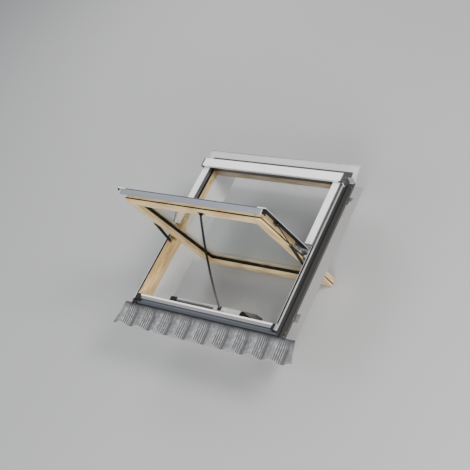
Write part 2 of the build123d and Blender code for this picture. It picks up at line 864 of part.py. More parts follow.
for place, outer_v, inner_v, way in (
    ("top", sash_top, top_opening_v, -1),
    ("bottom", -sash_bottom, bottom_opening_v, 1),
):
    with BuildPart() as sash_rail:
        with BuildSketch(across(sash_plane, -sash_opening_x)):
            with BuildLine():
                Polyline(
                    (inner_v, sash_in_n),
                    (inner_v, glass_in_n),
                    (inner_v - way * glass_rebate, glass_in_n),
                    (inner_v - way * glass_rebate, sash_out_n),
                    (outer_v, sash_out_n),
                    (outer_v, sash_in_n),
                    close=True,
                )
            make_face()
        extrude(amount=2 * sash_opening_x)
        with BuildSketch(sash_plane.offset(groove_n - sash_groove_width / 2)):
            with Locations((0, sash_middle_v)):
                Rectangle(2 * frame_width, 2 * frame_length)
                Rectangle(groove_across, groove_along, mode=Mode.SUBTRACT)
        extrude(amount=sash_groove_width, mode=Mode.SUBTRACT)
    sash_rail.part.label = f"sash_{place}_rail"
    export_step(sash_rail.part, f"parts/sash_{place}_rail.step")

# Rubber seal in the groove round the sash
with BuildPart() as sash_seal:
    with BuildSketch(sash_plane.offset(groove_n - sash_groove_width / 2 + sash_seal_play)):
        with Locations((0, sash_middle_v)):
            Rectangle(2 * (sash_x + sash_seal_reach), seal_length + 2 * sash_seal_reach)
            Rectangle(groove_across, groove_along, mode=Mode.SUBTRACT)
        # gaps where the hinge shoes pass
        shoe_v = hinge_radius * sin(radians(opening_angle / 2 - hinge_shoe_angle / 2))
        with Locations((-sash_x - sash_seal_reach, shoe_v), (sash_x + sash_seal_reach, shoe_v)):
            Rectangle(2 * sash_seal_reach, 4 * hinge_shoe_width, mode=Mode.SUBTRACT)
    extrude(amount=sash_groove_width - 2 * sash_seal_play)
sash_seal.part.label = "sash_seal"
export_step(sash_seal.part, "parts/sash_seal.step")

# Sealed double glazing
glass_x = sash_opening_x + glass_rebate - glass_edge_gap
glass_low = bottom_opening_v - glass_rebate + glass_edge_gap
glass_high = top_opening_v + glass_rebate - glass_edge_gap
glass_middle = (glass_low + glass_high) / 2
for pane, place_n in (("inner_pane", glass_in_n), ("outer_pane", glass_out_n - pane_thickness)):
    with BuildPart() as glass_pane:
        with BuildSketch(sash_plane.offset(place_n)):
            with Locations((0, glass_middle)):
                Rectangle(2 * glass_x, glass_high - glass_low)
        extrude(amount=pane_thickness)
    glass_pane.part.label = pane
    export_step(glass_pane.part, f"parts/{pane}.step")

with BuildPart() as glass_spacer:
    with BuildSketch(sash_plane.offset(glass_in_n + pane_thickness)):
        with Locations((0, glass_middle)):
            Rectangle(2 * glass_x, glass_high - glass_low)
            Rectangle(
                2 * (glass_x - spacer_width), glass_high - glass_low - 2 * spacer_width, mode=Mode.SUBTRACT
            )
    extrude(amount=pane_gap)
glass_spacer.part.label = "glass_spacer"
export_step(glass_spacer.part, "parts/glass_spacer.step")

# Aluminium bead that holds the glass, over the outer edge of the timber
bead_inner_x = sash_opening_x + glass_rebate - glass_edge_gap - bead_over_glass
bead_low = glass_low + bead_over_glass
bead_high = glass_high - bead_over_glass
with BuildPart() as glazing_bead:
    with BuildSketch(sash_plane.offset(glass_out_n + fit_gap)):
        with Locations((0, sash_middle_v)):
            Rectangle(2 * sash_x, seal_length)
        with Locations((0, (bead_low + bead_high) / 2)):
            Rectangle(2 * bead_inner_x, bead_high - bead_low, mode=Mode.SUBTRACT)
    extrude(amount=bead_height)
    with BuildSketch(sash_plane.offset(sash_out_n)):
        with Locations((0, sash_middle_v)):
            Rectangle(2 * sash_x, seal_length)
        with Locations((0, glass_middle)):
            Rectangle(
                2 * (sash_opening_x + glass_rebate),
                glass_high - glass_low + 2 * glass_edge_gap,
                mode=Mode.SUBTRACT,
            )
    extrude(amount=glass_out_n + fit_gap - sash_out_n)
glazing_bead.part.label = "glazing_bead"
export_step(glazing_bead.part, "parts/glazing_bead.step")

# Covers of the lower half, on the sash
sash_cover_x = half_width - sash_cover_outset
cover_n = -pivot_above_cover
for side, sign in sides:
    with BuildPart() as sash_cover:
        with BuildSketch(along(sash_plane, sash_cover_end)):
            with BuildLine():
                Polyline(
                    *sideways(
                        [
                            (sash_cover_inner, glass_out_n + fit_gap + bead_height),
                            (sash_cover_inner, cover_n),
                            (sash_cover_x, cover_n),
                            (sash_cover_x, cover_n - sash_cover_lip),
                            (sash_cover_x - sheet, cover_n - sash_cover_lip),
                            (sash_cover_x - sheet, cover_n - sheet),
                            (sash_cover_inner + sheet, cover_n - sheet),
                            (sash_cover_inner + sheet, glass_out_n + fit_gap + bead_height),
                        ],
                        sign,
                    ),
                    close=True,
                )
            make_face()
        extrude(amount=sash_cover_end + bottom_cover_reach - sheet)
    sash_cover.part.label = f"sash_cover_{side}"
    export_step(sash_cover.part, f"parts/sash_cover_{side}.step")

end_inner_x = sash_cover_inner + 2 * sheet
end_outer_x = sash_cover_x - 2 * sheet
end_block_x = (end_inner_x + end_outer_x) / 2
cover_seal_x = (sash_x + sash_cover_x) / 2
cover_back_n = cover_n - sheet
with BuildPart() as sash_cover_seals:
    for side, sign in sides:
        with BuildSketch(along(sash_plane, sash_cover_end)):
            with Locations((sign * cover_seal_x, cover_back_n - sash_cover_seal_thickness / 2)):
                Rectangle(sash_cover_x - sash_x - 4 * sheet, sash_cover_seal_thickness)
        extrude(amount=sash_cover_end + bottom_cover_reach - sheet)
        # block that closes the end of the cover, beyond the bottom rail
        with BuildSketch(along(sash_plane, -sash_bottom - fit_gap)):
            with Locations((sign * end_block_x, cover_back_n - sash_cover_end_depth / 2)):
                Rectangle(end_outer_x - end_inner_x, sash_cover_end_depth)
        extrude(amount=bottom_cover_reach - 3 * sheet - fit_gap - sash_bottom)
sash_cover_seals.part.label = "sash_cover_seals"
export_step(sash_cover_seals.part, "parts/sash_cover_seals.step")

bottom_cover_half = sash_cover_inner - fit_gap
bottom_n = cover_n - bottom_cover_depth
with BuildPart() as sash_bottom_cover:
    with BuildSketch(across(sash_plane, -bottom_cover_half)):
        with BuildLine():
            Polyline(
                (-sash_bottom + bottom_cover_lap, cover_n),
                (-bottom_cover_reach + bottom_cover_nose / 2, cover_n),
                (-bottom_cover_reach, cover_n - bottom_cover_nose),
                (-bottom_cover_reach, bottom_n),
                (-bottom_cover_reach + sheet, bottom_n),
                (-bottom_cover_reach + sheet, cover_n - bottom_cover_nose),
                (-bottom_cover_reach + bottom_cover_nose / 2 + sheet, cover_n - sheet),
                (-sash_bottom + bottom_cover_lap, cover_n - sheet),
                close=True,
            )
        make_face()
    extrude(amount=2 * bottom_cover_half)
sash_bottom_cover.part.label = "sash_bottom_cover"
export_step(sash_bottom_cover.part, "parts/sash_bottom_cover.step")

with BuildPart() as sash_cover_tips:
    for side, sign in sides:
        with BuildSketch(along(sash_plane, -bottom_cover_reach + sheet)):
            tip_x = (sash_cover_inner + sash_cover_x) / 2
            with Locations((sign * tip_x, cover_n - tip_height / 2)):
                Rectangle(sash_cover_x - sash_cover_inner, tip_height)
        extrude(amount=2 * sheet)
sash_cover_tips.part.label = "sash_cover_tips"
export_step(sash_cover_tips.part, "parts/sash_cover_tips.step")

# Gas springs, left and right
gas_frame_z = shoulder_z - gas_frame_drop
gas_sash_point = sash_plane.from_local_coords((0, gas_sash_v, gas_sash_n))
gas_run_y = gas_sash_point.Y - gas_frame_y
gas_run_z = gas_sash_point.Z - gas_frame_z
gas_length = hypot(gas_run_y, gas_run_z)
gas_plane = Plane(
    origin=(0, gas_frame_y, gas_frame_z),
    x_dir=(1, 0, 0),
    z_dir=(0, gas_run_y / gas_length, gas_run_z / gas_length),
)
with BuildPart() as gas_frame_studs:
    for side, sign in sides:
        with BuildSketch(across(Plane.XY, sign * rebate_x)):
            with Locations((gas_frame_y, gas_frame_z)):
                Circle(gas_stud_radius)
        extrude(amount=-sign * (rebate_x - gas_offset_x + gas_eye_width / 2 + gas_knob_flat))
        with BuildSketch(across(Plane.XY, sign * rebate_x)):
            with Locations((gas_frame_y, gas_frame_z)):
                RegularPolygon(gas_nut_radius, 6)
        extrude(amount=-sign * (rebate_x - gas_offset_x - gas_eye_width / 2 - fit_gap))
gas_frame_studs.part.label = "gas_frame_studs"
export_step(gas_frame_studs.part, "parts/gas_frame_studs.step")

with BuildPart() as gas_sash_studs:
    for side, sign in sides:
        with BuildSketch(across(sash_plane, sign * sash_x)):
            with Locations((gas_sash_v, gas_sash_n)):
                Circle(gas_stud_radius)
        extrude(amount=sign * (gas_offset_x - gas_knob_radius + gas_knob_flat - fit_gap - sash_x))
        with BuildSketch(across(sash_plane, sign * sash_x)):
            with Locations((gas_sash_v, gas_sash_n)):
                Rectangle(gas_plate_length, gas_plate_width)
        extrude(amount=sign * gas_plate_thickness)
gas_sash_studs.part.label = "gas_sash_studs"
export_step(gas_sash_studs.part, "parts/gas_sash_studs.step")

for side, sign in sides:
    with BuildPart() as gas_cylinder:
        with BuildSketch(gas_plane.offset(gas_eye_radius)):
            with Locations((sign * gas_offset_x, 0)):
                Circle(gas_rod_radius)
        extrude(amount=gas_eye_radius)
        with BuildSketch(gas_plane.offset(2 * gas_eye_radius)):
            with Locations((sign * gas_offset_x, 0)):
                Circle(gas_cylinder_radius)
                Circle(gas_rod_radius + running_gap, mode=Mode.SUBTRACT)
        extrude(amount=gas_cylinder_length - 2 * gas_eye_radius)
        with BuildSketch(gas_plane.offset(2 * gas_eye_radius)):
            with Locations((sign * gas_offset_x, 0)):
                Circle(gas_cylinder_radius)
        extrude(amount=gas_eye_radius / 2)
        # collar where the rod comes out
        with BuildSketch(gas_plane.offset(gas_cylinder_length - gas_collar_length)):
            with Locations((sign * gas_offset_x, 0)):
                Circle(gas_cylinder_radius + gas_collar)
                Circle(gas_cylinder_radius, mode=Mode.SUBTRACT)
        extrude(amount=gas_collar_length)
        with BuildSketch(across(gas_plane, sign * gas_offset_x - gas_eye_width / 2)):
            Circle(gas_eye_radius + fit_gap)
        extrude(amount=gas_eye_width)
        with BuildSketch(across(gas_plane, sign * gas_offset_x - gas_eye_width / 2)):
            Circle(gas_stud_radius + running_gap)
        extrude(amount=gas_eye_width, mode=Mode.SUBTRACT)
    gas_cylinder.part.label = f"gas_cylinder_{side}"
    export_step(gas_cylinder.part, f"parts/gas_cylinder_{side}.step")

    rod_start = gas_cylinder_length - gas_rod_inside
    knob_plane = Plane(
        origin=gas_plane.from_local_coords((sign * gas_offset_x, 0, gas_length)), z_dir=(1, 0, 0)
    )
    with BuildPart() as gas_rod:
        with BuildSketch(gas_plane.offset(rod_start)):
            with Locations((sign * gas_offset_x, 0)):
                Circle(gas_rod_radius)
        extrude(amount=gas_length - rod_start)
        with BuildSketch(knob_plane.offset(-gas_knob_radius + gas_knob_flat)):
            Circle(gas_knob_radius)
        extrude(amount=2 * (gas_knob_radius - gas_knob_flat))
    gas_rod.part.label = f"gas_rod_{side}"
    export_step(gas_rod.part, f"parts/gas_rod_{side}.step")

# Chain drive on the sill
actuator_top_z = shoulder_z - actuator_top_drop
actuator_y = actuator_near_y + actuator_width / 2
actuator_z = actuator_top_z - actuator_height / 2
box_width = actuator_width + box_oversize
box_height = actuator_height + box_oversize
with BuildPart() as actuator_profile:
    with BuildSketch(across(Plane.XY, actuator_start_x + end_block_length)):
        with Locations((actuator_y, actuator_z)):
            RectangleRounded(actuator_width, actuator_height, actuator_radius)
        # two grooves along the profile: one for the mounting bracket, one in the top
        with Locations(
            (actuator_near_y, actuator_z),
            (actuator_y - actuator_width / 4, actuator_top_z),
        ):
            Rectangle(2 * actuator_groove, 2 * actuator_groove, mode=Mode.SUBTRACT)
    extrude(amount=profile_end_x - actuator_start_x - end_block_length)
actuator_profile.part.label = "actuator_profile"
export_step(actuator_profile.part, "parts/actuator_profile.step")

with BuildPart() as actuator_end_block:
    with BuildSketch(across(Plane.XY, actuator_start_x)):
        with Locations((actuator_y, actuator_z)):
            RectangleRounded(box_width, box_height, end_block_radius)
    extrude(amount=end_block_length)
actuator_end_block.part.label = "actuator_end_block"
export_step(actuator_end_block.part, "parts/actuator_end_block.step")

motor_low_z = actuator_z - box_height / 2
motor_high_z = motor_low_z + box_height
with BuildPart() as actuator_motor_box:
    with BuildSketch(Plane.XZ.offset(-actuator_y - box_width / 2)):
        with BuildLine():
            Polyline(
                (motor_box_start_x, motor_low_z),
                (motor_box_start_x, motor_high_z),
                (motor_box_end_x - motor_box_slant, motor_high_z),
                (motor_box_end_x, motor_low_z),
                close=True,
            )
        make_face()
    extrude(amount=box_width)
    box_edges = actuator_motor_box.faces().sort_by(Axis.Z)[-1].edges().filter_by(Axis.X)
    fillet(box_edges, radius=motor_box_radius)
    # narrower neck between the box and the profile
    with BuildSketch(across(Plane.XY, profile_end_x)):
        with Locations((actuator_y, actuator_z)):
            Rectangle(actuator_width - motor_neck, actuator_height - motor_neck)
    extrude(amount=motor_box_start_x - profile_end_x)
actuator_motor_box.part.label = "actuator_motor_box"
export_step(actuator_motor_box.part, "parts/actuator_motor_box.step")

with BuildPart() as actuator_brackets:
    for x in (actuator_start_x + 2 * end_block_length, profile_end_x - end_block_length):
        with BuildSketch(across(Plane.XY, x)):
            with BuildLine():
                Polyline(
                    (sill_inner_y, actuator_z - actuator_height / 2),
                    (sill_inner_y, actuator_z + actuator_height / 2),
                    (actuator_near_y, actuator_z + actuator_height / 4),
                    (actuator_near_y, actuator_z - actuator_height / 4),
                    close=True,
                )
            make_face()
        extrude(amount=bracket_block_length)
actuator_brackets.part.label = "actuator_brackets"
export_step(actuator_brackets.part, "parts/actuator_brackets.step")

# Chain, bowed a little, from its outlet on the drive to its bracket on the sash
chain_foot = (actuator_y, actuator_top_z + chain_foot_height)
chain_end = sash_plane.from_local_coords((chain_x, chain_bracket_v, sash_in_n - chain_pin_depth))
chain_run_y = chain_end.Y - chain_foot[0]
chain_run_z = chain_end.Z - chain_foot[1]
chain_length = hypot(chain_run_y, chain_run_z)
link_count = 2 * round(chain_length / chain_pitch / 2) + 1
half_link = chain_plate_height / 2
link_corner = chain_plate_height / 4


def chain_point(share):
    """A place on the bowed chain, for a share of the way from the outlet to the bracket."""
    bow = 4 * chain_sag * share * (1 - share) / chain_length
    return (
        chain_foot[0] + chain_run_y * share - chain_run_z * bow,
        chain_foot[1] + chain_run_z * share + chain_run_y * bow,
    )


link_places = []
for link in range(link_count):
    start = chain_point(link / link_count)
    end = chain_point((link + 1) / link_count)
    run_y = end[0] - start[0]
    run_z = end[1] - start[1]
    middle = ((start[0] + end[0]) / 2, (start[1] + end[1]) / 2)
    link_places.append((middle, degrees(atan2(run_z, run_y)), hypot(run_y, run_z)))

outlet_slot_length = chain_width + 2 * outlet_margin
outlet_slot_width = chain_plate_height + 8 * outlet_margin
cover_start_x = chain_x + outlet_length / 2 - outlet_radius
with BuildPart() as actuator_outlet:
    with BuildSketch(Plane.XY.offset(actuator_top_z)):
        with Locations((chain_x, actuator_y)):
            RectangleRounded(outlet_length, actuator_width - 2 * outlet_margin, outlet_radius)
            Rectangle(outlet_slot_length, outlet_slot_width, mode=Mode.SUBTRACT)
    extrude(amount=outlet_height)
    # flat cover from the outlet to the end of the profile
    with BuildSketch(Plane.XY.offset(actuator_top_z)):
        with Locations(((cover_start_x + profile_end_x) / 2, actuator_y)):
            Rectangle(profile_end_x - cover_start_x, actuator_width - 2 * outlet_margin)
    extrude(amount=outlet_cover_height)
actuator_outlet.part.label = "actuator_outlet"
export_step(actuator_outlet.part, "parts/actuator_outlet.step")

narrow = chain_width / 2 - chain_plate_thickness
with BuildPart() as chain:
    for first, outer_x in ((0, chain_width / 2), (1, narrow)):
        for way in (-1, 1):
            with BuildSketch(across(Plane.XY, chain_x + way * outer_x)):
                for middle, turn, length in link_places[first::2]:
                    reach = length / 2 + half_link
                    with Locations(Location(middle, turn)):
                        Polygon(
                            (-reach, -link_corner),
                            (-reach, link_corner),
                            (link_corner - reach, half_link),
                            (reach - link_corner, half_link),
                            (reach, link_corner),
                            (reach, -link_corner),
                            (reach - link_corner, -half_link),
                            (link_corner - reach, -half_link),
                            align=None,
                        )
            extrude(amount=-way * chain_plate_thickness)
    with BuildSketch(across(Plane.XY, chain_x - chain_width / 2)):
        with Locations(chain_foot):
            Circle(chain_pin_radius)
        for place in range(1, link_count + 1):
            with Locations(chain_point(place / link_count)):
                RegularPolygon(chain_pin_radius, 6)
    extrude(amount=chain_width)
chain.part.label = "chain"
export_step(chain.part, "parts/chain.step")

with BuildPart() as chain_bracket:
    with BuildSketch(sash_plane.offset(sash_in_n)):
        with Locations((chain_x, chain_bracket_v)):
            RectangleRounded(chain_bracket_length, chain_bracket_width, chain_bracket_thickness)
    extrude(amount=-chain_bracket_thickness)
    for way in (-1, 1):
        with BuildSketch(across(sash_plane, chain_x + way * (chain_width / 2 + fit_gap))):
            with Locations((chain_bracket_v, sash_in_n - chain_lug_height / 2 - sheet)):
                Rectangle(chain_lug_length, chain_lug_height)
        extrude(amount=way * chain_lug_thickness)
chain_bracket.part.label = "chain_bracket"
export_step(chain_bracket.part, "parts/chain_bracket.step")

# Screws of the upper covers
screw_x = (cover_inner_x + cover_outer_x) / 2
screw_y = upper_cover_start + cover_screw_inset
with BuildPart() as cover_screws:
    for side, sign in sides:
        with BuildSketch(Plane.XY.offset(cover_z)):
            with Locations((sign * screw_x, screw_y)):
                Circle(cover_screw_radius)
        extrude(amount=cover_screw_height)
cover_screws.part.label = "cover_screws"
export_step(cover_screws.part, "parts/cover_screws.step")

print("gas spring length", round(gas_length, 2), "angle", round(degrees(atan2(gas_run_z, gas_run_y)), 3))
print("chain length", round(chain_length, 2), "links", link_count)
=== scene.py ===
from math import cos, pi, radians, sin

import bmesh
import bpy
import numpy as np
from mathutils import Euler, Matrix, Vector

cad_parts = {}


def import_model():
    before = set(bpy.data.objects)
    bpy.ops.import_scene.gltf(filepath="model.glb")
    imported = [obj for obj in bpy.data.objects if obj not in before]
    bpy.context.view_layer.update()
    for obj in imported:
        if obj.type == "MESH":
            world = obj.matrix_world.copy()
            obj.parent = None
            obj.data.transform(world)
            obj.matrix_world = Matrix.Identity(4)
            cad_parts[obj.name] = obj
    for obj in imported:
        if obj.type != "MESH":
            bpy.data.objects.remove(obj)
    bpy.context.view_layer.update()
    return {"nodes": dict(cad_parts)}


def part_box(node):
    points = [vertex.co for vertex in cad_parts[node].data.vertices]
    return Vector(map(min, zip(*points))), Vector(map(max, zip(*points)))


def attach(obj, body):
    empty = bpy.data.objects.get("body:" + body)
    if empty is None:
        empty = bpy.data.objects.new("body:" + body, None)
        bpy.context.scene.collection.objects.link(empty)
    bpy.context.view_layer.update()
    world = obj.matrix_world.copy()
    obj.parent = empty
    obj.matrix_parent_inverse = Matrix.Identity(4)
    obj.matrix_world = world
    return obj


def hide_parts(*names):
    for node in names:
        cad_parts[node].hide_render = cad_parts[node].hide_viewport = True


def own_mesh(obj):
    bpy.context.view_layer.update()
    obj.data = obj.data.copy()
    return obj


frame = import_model()

# Sizes in metres, in the frame of the CAD model. VERT runs up the open sash, from its bottom rail to
# its top rail, and OUT runs out of its outer face. A HAIR keeps two faces out of one plane.
X = np.array((1.0, 0.0, 0.0))
Y = np.array((0.0, 1.0, 0.0))
Z = np.array((0.0, 0.0, 1.0))
PIVOT = np.array((0.0, 0.016, 0.130))
OPEN = radians(78.4)
VERT = np.array((0.0, cos(OPEN), -sin(OPEN)))
OUT = np.array((0.0, sin(OPEN), cos(OPEN)))
SASH_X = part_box("sash_side_right")[1].x
SASH_OPENING_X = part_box("sash_side_right")[0].x
SASH_IN = -0.098
GLASS_OUT = -0.042
OPENING_LOW = -0.489
OPENING_HIGH = 0.479
BAND_END_X = 0.545
LAND_Z = 0.066
HAIR = 0.0002
SIDES = (("left", -1), ("right", 1))

# Places on the sash as the finishes measure them, from the origin: two along OUT and one against VERT
OUTER_FACE = float(PIVOT @ OUT) - 0.035
GROOVE = float(PIVOT @ OUT) - 0.080
RAIL_END = 0.552 - float(PIVOT @ VERT)


def sash(x, v, n):
    """Places on the open sash, from PIVOT: x across, v along VERT and n along OUT."""
    x, v, n = (np.asarray(value, float)[..., None] for value in (x, v, n))
    return PIVOT + x * X + v * VERT + n * OUT


def middle(node):
    """The middle of a CAD node's box."""
    low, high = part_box(node)
    return np.array((low + high) / 2)


# Camera at the photograph's angle: its place in metres and its turn in degrees about X, Y and Z
CAMERA_PLACE = (3.2428, -2.4334, 4.3602)
CAMERA_TURN = (38.1732, 23.1232, 26.6924)
CAMERA_LENS = 67.814
camera_data = bpy.data.cameras.new("camera")
camera_data.sensor_fit = "HORIZONTAL"
camera_data.sensor_width = 36.0
camera_data.lens = CAMERA_LENS
camera_data.clip_end = 60.0
camera = bpy.data.objects.new("camera", camera_data)
bpy.context.scene.collection.objects.link(camera)
turn = Euler(np.radians(CAMERA_TURN), "XYZ").to_matrix().to_4x4()
camera.matrix_world = Matrix.Translation(CAMERA_PLACE) @ turn
bpy.context.scene.camera = camera


# Finishes: a finish is a material of nodes, and a mask is a value from 0 to 1 over the piece
def material(name, color, roughness, metallic=0.0):
    """A new material with a Principled shader; the constants go straight on the shader."""
    made = bpy.data.materials.new(name)
    made.use_nodes = True
    shader = made.node_tree.nodes["Principled BSDF"]
    shader.inputs["Base Color"].default_value = (*color, 1.0)
    shader.inputs["Roughness"].default_value = roughness
    shader.inputs["Metallic"].default_value = metallic
    return made, made.node_tree, shader


def node(tree, kind, **values):
    """A new node; names that are inputs set those inputs, others set its properties."""
    made = tree.nodes.new(kind)
    for key, value in values.items():
        if key in made.inputs:
            made.inputs[key].default_value = value
        else:
            setattr(made, key, value)
    return made


def ramp(tree, source, stops):
    """A colour ramp fed by source; stops are (place, colour)."""
    made = tree.nodes.new("ShaderNodeValToRGB")
    bands = made.color_ramp.elements
    while len(bands) < len(stops):
        bands.new(0.5)
    for band, (place, color) in zip(bands, stops):
        band.position = place
        band.color = (*color, 1.0) if len(color) == 3 else color
    tree.links.new(source, made.inputs["Fac"])
    return made.outputs["Color"]


def grey(value):
    """One value in red, green and blue."""
    return (value, value, value)


def scaled(color, factor):
    """A colour made darker or lighter by a factor, up to white."""
    return tuple(min(1.0, part * factor) for part in color)


def object_coords(tree, along=(1, 0, 0), stretch=1.0):
    """Object coordinates whose first axis runs along the given direction, squeezed by stretch."""
    coords = node(tree, "ShaderNodeTexCoord").outputs["Object"]
    first = Vector(along).normalized()
    second = Vector((0, 0, 1)) if abs(first.z) < 0.9 else Vector((0, 1, 0))
    second = (second - first * second.dot(first)).normalized()
    third = first.cross(second)
    join = node(tree, "ShaderNodeCombineXYZ")
    for place, (axis, factor) in enumerate(((first, stretch), (second, 1.0), (third, 1.0))):
        dot = node(tree, "ShaderNodeVectorMath", operation="DOT_PRODUCT")
        tree.links.new(coords, dot.inputs[0])
        dot.inputs[1].default_value = axis * factor
        tree.links.new(dot.outputs["Value"], join.inputs[place])
    return join.outputs["Vector"]


def noise(tree, vector, scale, detail=4.0, rough=0.55):
    """The grey value of cloudy noise on a vector."""
    made = node(tree, "ShaderNodeTexNoise", Scale=scale, Detail=detail, Roughness=rough)
    tree.links.new(vector, made.inputs["Vector"])
    return made.outputs["Fac"]


def bump(tree, shader, height, strength, distance):
    """Fine bumps on the surface, after a height."""
    made = node(tree, "ShaderNodeBump", Strength=strength, Distance=distance)
    tree.links.new(height, made.inputs["Height"])
    tree.links.new(made.outputs["Normal"], shader.inputs["Normal"])


def blend_colors(tree, factor, first, second):
    """Two colours mixed by a factor; each of the three is a socket or a constant."""
    made = node(tree, "ShaderNodeMix", data_type="RGBA")
    for source, socket in ((factor, made.inputs[0]), (first, made.inputs[6]), (second, made.inputs[7])):
        if isinstance(source, bpy.types.NodeSocket):
            tree.links.new(source, socket)
        else:
            socket.default_value = source
    return made.outputs[2]


def place_mask(tree, direction, low, high, both=False):
    """0 below low and 1 above high, for the place along a direction, or along both ways of it."""
    coords = node(tree, "ShaderNodeTexCoord").outputs["Object"]
    dot = node(tree, "ShaderNodeVectorMath", operation="DOT_PRODUCT")
    tree.links.new(coords, dot.inputs[0])
    dot.inputs[1].default_value = direction
    value = dot.outputs["Value"]
    if both:
        value = math_node(tree, "ABSOLUTE", value)
    spread = node(tree, "ShaderNodeMapRange", clamp=True)
    tree.links.new(value, spread.inputs["Value"])
    spread.inputs["From Min"].default_value = low
    spread.inputs["From Max"].default_value = high
    return spread.outputs["Result"]


def past(look, direction, edge, soft=0.0005, both=False):
    """A mask for a finish: 0 before an edge along a direction and 1 past it, changing over soft."""
    return place_mask(look.node_tree, direction, edge, edge + soft, both)


def before(look, direction, edge, soft, both=False):
    """A mask for a finish: 1 before an edge along a direction and 0 past it, changing over soft."""
    return place_mask(look.node_tree, direction, edge + soft, edge, both)


def math_node(tree, kind, *values):
    """One step of arithmetic on sockets or constants."""
    made = node(tree, "ShaderNodeMath", operation=kind)
    for socket, value in zip(made.inputs, values):
        if isinstance(value, bpy.types.NodeSocket):
            tree.links.new(value, socket)
        else:
            socket.default_value = value
    return made.outputs[0]


def tint(look, color, *masks):
    """A finish's colour changed to another one where all the masks are 1: their product is the share."""
    tree = look.node_tree
    socket = tree.nodes["Principled BSDF"].inputs["Base Color"]
    factor = masks[0]
    for mask in masks[1:]:
        factor = math_node(tree, "MULTIPLY", factor, mask)
    tree.links.new(blend_colors(tree, factor, socket.links[0].from_socket, (*color, 1.0)), socket)


def dull(look):
    """A finish made to mirror less, as oiled wood and matt paint do."""
    shader = look.node_tree.nodes["Principled BSDF"]
    shader.inputs["Specular IOR Level"].default_value = 0.25


def pine(name, along, light, dark, shift):
    """Lacquered pine: growth bands and fine fibres along the timber, and a few knots."""
    made, tree, shader = material(name, light, 0.42)
    moved = node(tree, "ShaderNodeVectorMath", operation="ADD")
    tree.links.new(object_coords(tree, along, 0.045), moved.inputs[0])
    moved.inputs[1].default_value = (shift, shift * 1.7, shift * 0.6)
    vector = moved.outputs["Vector"]
    bands = node(tree, "ShaderNodeTexWave", Scale=26.0, Distortion=9.0, Detail=3.0)
    bands.inputs["Detail Scale"].default_value = 1.3
    tree.links.new(vector, bands.inputs["Vector"])
    fibres = noise(tree, vector, 260.0, 5.0, 0.65)
    drift = noise(tree, vector, 14.0, 2.0, 0.5)
    tone = blend_colors(tree, 0.45, bands.outputs["Fac"], fibres)
    tone = blend_colors(tree, 0.35, tone, drift)
    color = ramp(tree, tone, ((0.22, dark), (0.5, light), (0.85, scaled(light, 1.13))))
    knots_vector = node(tree, "ShaderNodeVectorMath", operation="ADD")
    tree.links.new(object_coords(tree, along, 0.55), knots_vector.inputs[0])
    knots_vector.inputs[1].default_value = (shift * 3.1, shift, shift * 2.3)
    knots = node(tree, "ShaderNodeTexVoronoi", Scale=7.0)
    tree.links.new(knots_vector.outputs["Vector"], knots.inputs["Vector"])
    spot = ramp(tree, knots.outputs["Distance"], ((0.03, grey(1.0)), (0.075, grey(0.55)), (0.16, grey(0.0))))
    knot = (dark[0] * 0.5, dark[1] * 0.38, dark[2] * 0.28, 1.0)
    color = blend_colors(tree, spot, color, knot)
    tree.links.new(color, shader.inputs["Base Color"])
    tree.links.new(ramp(tree, fibres, ((0.3, grey(0.36)), (0.8, grey(0.52)))), shader.inputs["Roughness"])
    bump(tree, shader, fibres, 0.12, 0.0006)
    shader.inputs["Coat Weight"].default_value = 0.25
    shader.inputs["Coat Roughness"].default_value = 0.25
    return made


def sheet_metal(name, color, roughness, metallic, variation=0.08, along=(1, 0, 0), stretch=0.2):
    """Coated sheet: faint rolled streaks, soft cloudy tone and slightly uneven gloss."""
    made, tree, shader = material(name, color, roughness, metallic)
    vector = object_coords(tree, along, stretch)
    cloud = noise(tree, vector, 9.0, 3.0, 0.5)
    fine = noise(tree, vector, 180.0, 4.0, 0.6)
    tone = blend_colors(tree, 0.35, cloud, fine)
    tones = ((0.3, scaled(color, 1.0 - variation)), (0.7, scaled(color, 1.0 + variation)))
    tree.links.new(ramp(tree, tone, tones), shader.inputs["Base Color"])
    tree.links.new(
        ramp(tree, cloud, ((0.3, grey(roughness * 0.85)), (0.7, grey(roughness * 1.2)))),
        shader.inputs["Roughness"],
    )
    bump(tree, shader, fine, 0.05, 0.0004)
    return made


def moulded(name, color, roughness, grain=900.0):
    """Moulded plastic or rubber with a fine grain."""
    made, tree, shader = material(name, color, roughness)
    shader.inputs["Specular IOR Level"].default_value = 0.2
    vector = object_coords(tree)
    fine = noise(tree, vector, grain, 2.0, 0.5)
    cloud = noise(tree, vector, 22.0, 3.0, 0.5)
    tones = ((0.3, scaled(color, 0.85)), (0.7, scaled(color, 1.2)))
    tree.links.new(ramp(tree, cloud, tones), shader.inputs["Base Color"])
    bump(tree, shader, fine, 0.18, 0.0003)
    return made


def brushed(name, color, roughness, along):
    """Bare metal with brush marks along one direction."""
    made, tree, shader = material(name, color, roughness, 1.0)
    vector = object_coords(tree, along, 0.04)
    marks = noise(tree, vector, 700.0, 3.0, 0.6)
    tones = ((0.3, scaled(color, 0.8)), (0.7, color))
    tree.links.new(ramp(tree, marks, tones), shader.inputs["Base Color"])
    tree.links.new(
        ramp(tree, marks, ((0.3, grey(roughness * 0.8)), (0.7, grey(roughness * 1.25)))),
        shader.inputs["Roughness"],
    )
    bump(tree, shader, marks, 0.06, 0.0002)
    return made


def board(name, color):
    """Painted lining board: almost flat, with a faint rolled texture."""
    made, tree, shader = material(name, color, 0.6)
    vector = object_coords(tree)
    cloud = noise(tree, vector, 5.0, 2.0, 0.5)
    roll = noise(tree, vector, 420.0, 3.0, 0.6)
    tones = ((0.3, scaled(color, 0.965)), (0.7, color))
    tree.links.new(ramp(tree, cloud, tones), shader.inputs["Base Color"])
    bump(tree, shader, roll, 0.08, 0.0003)
    return made


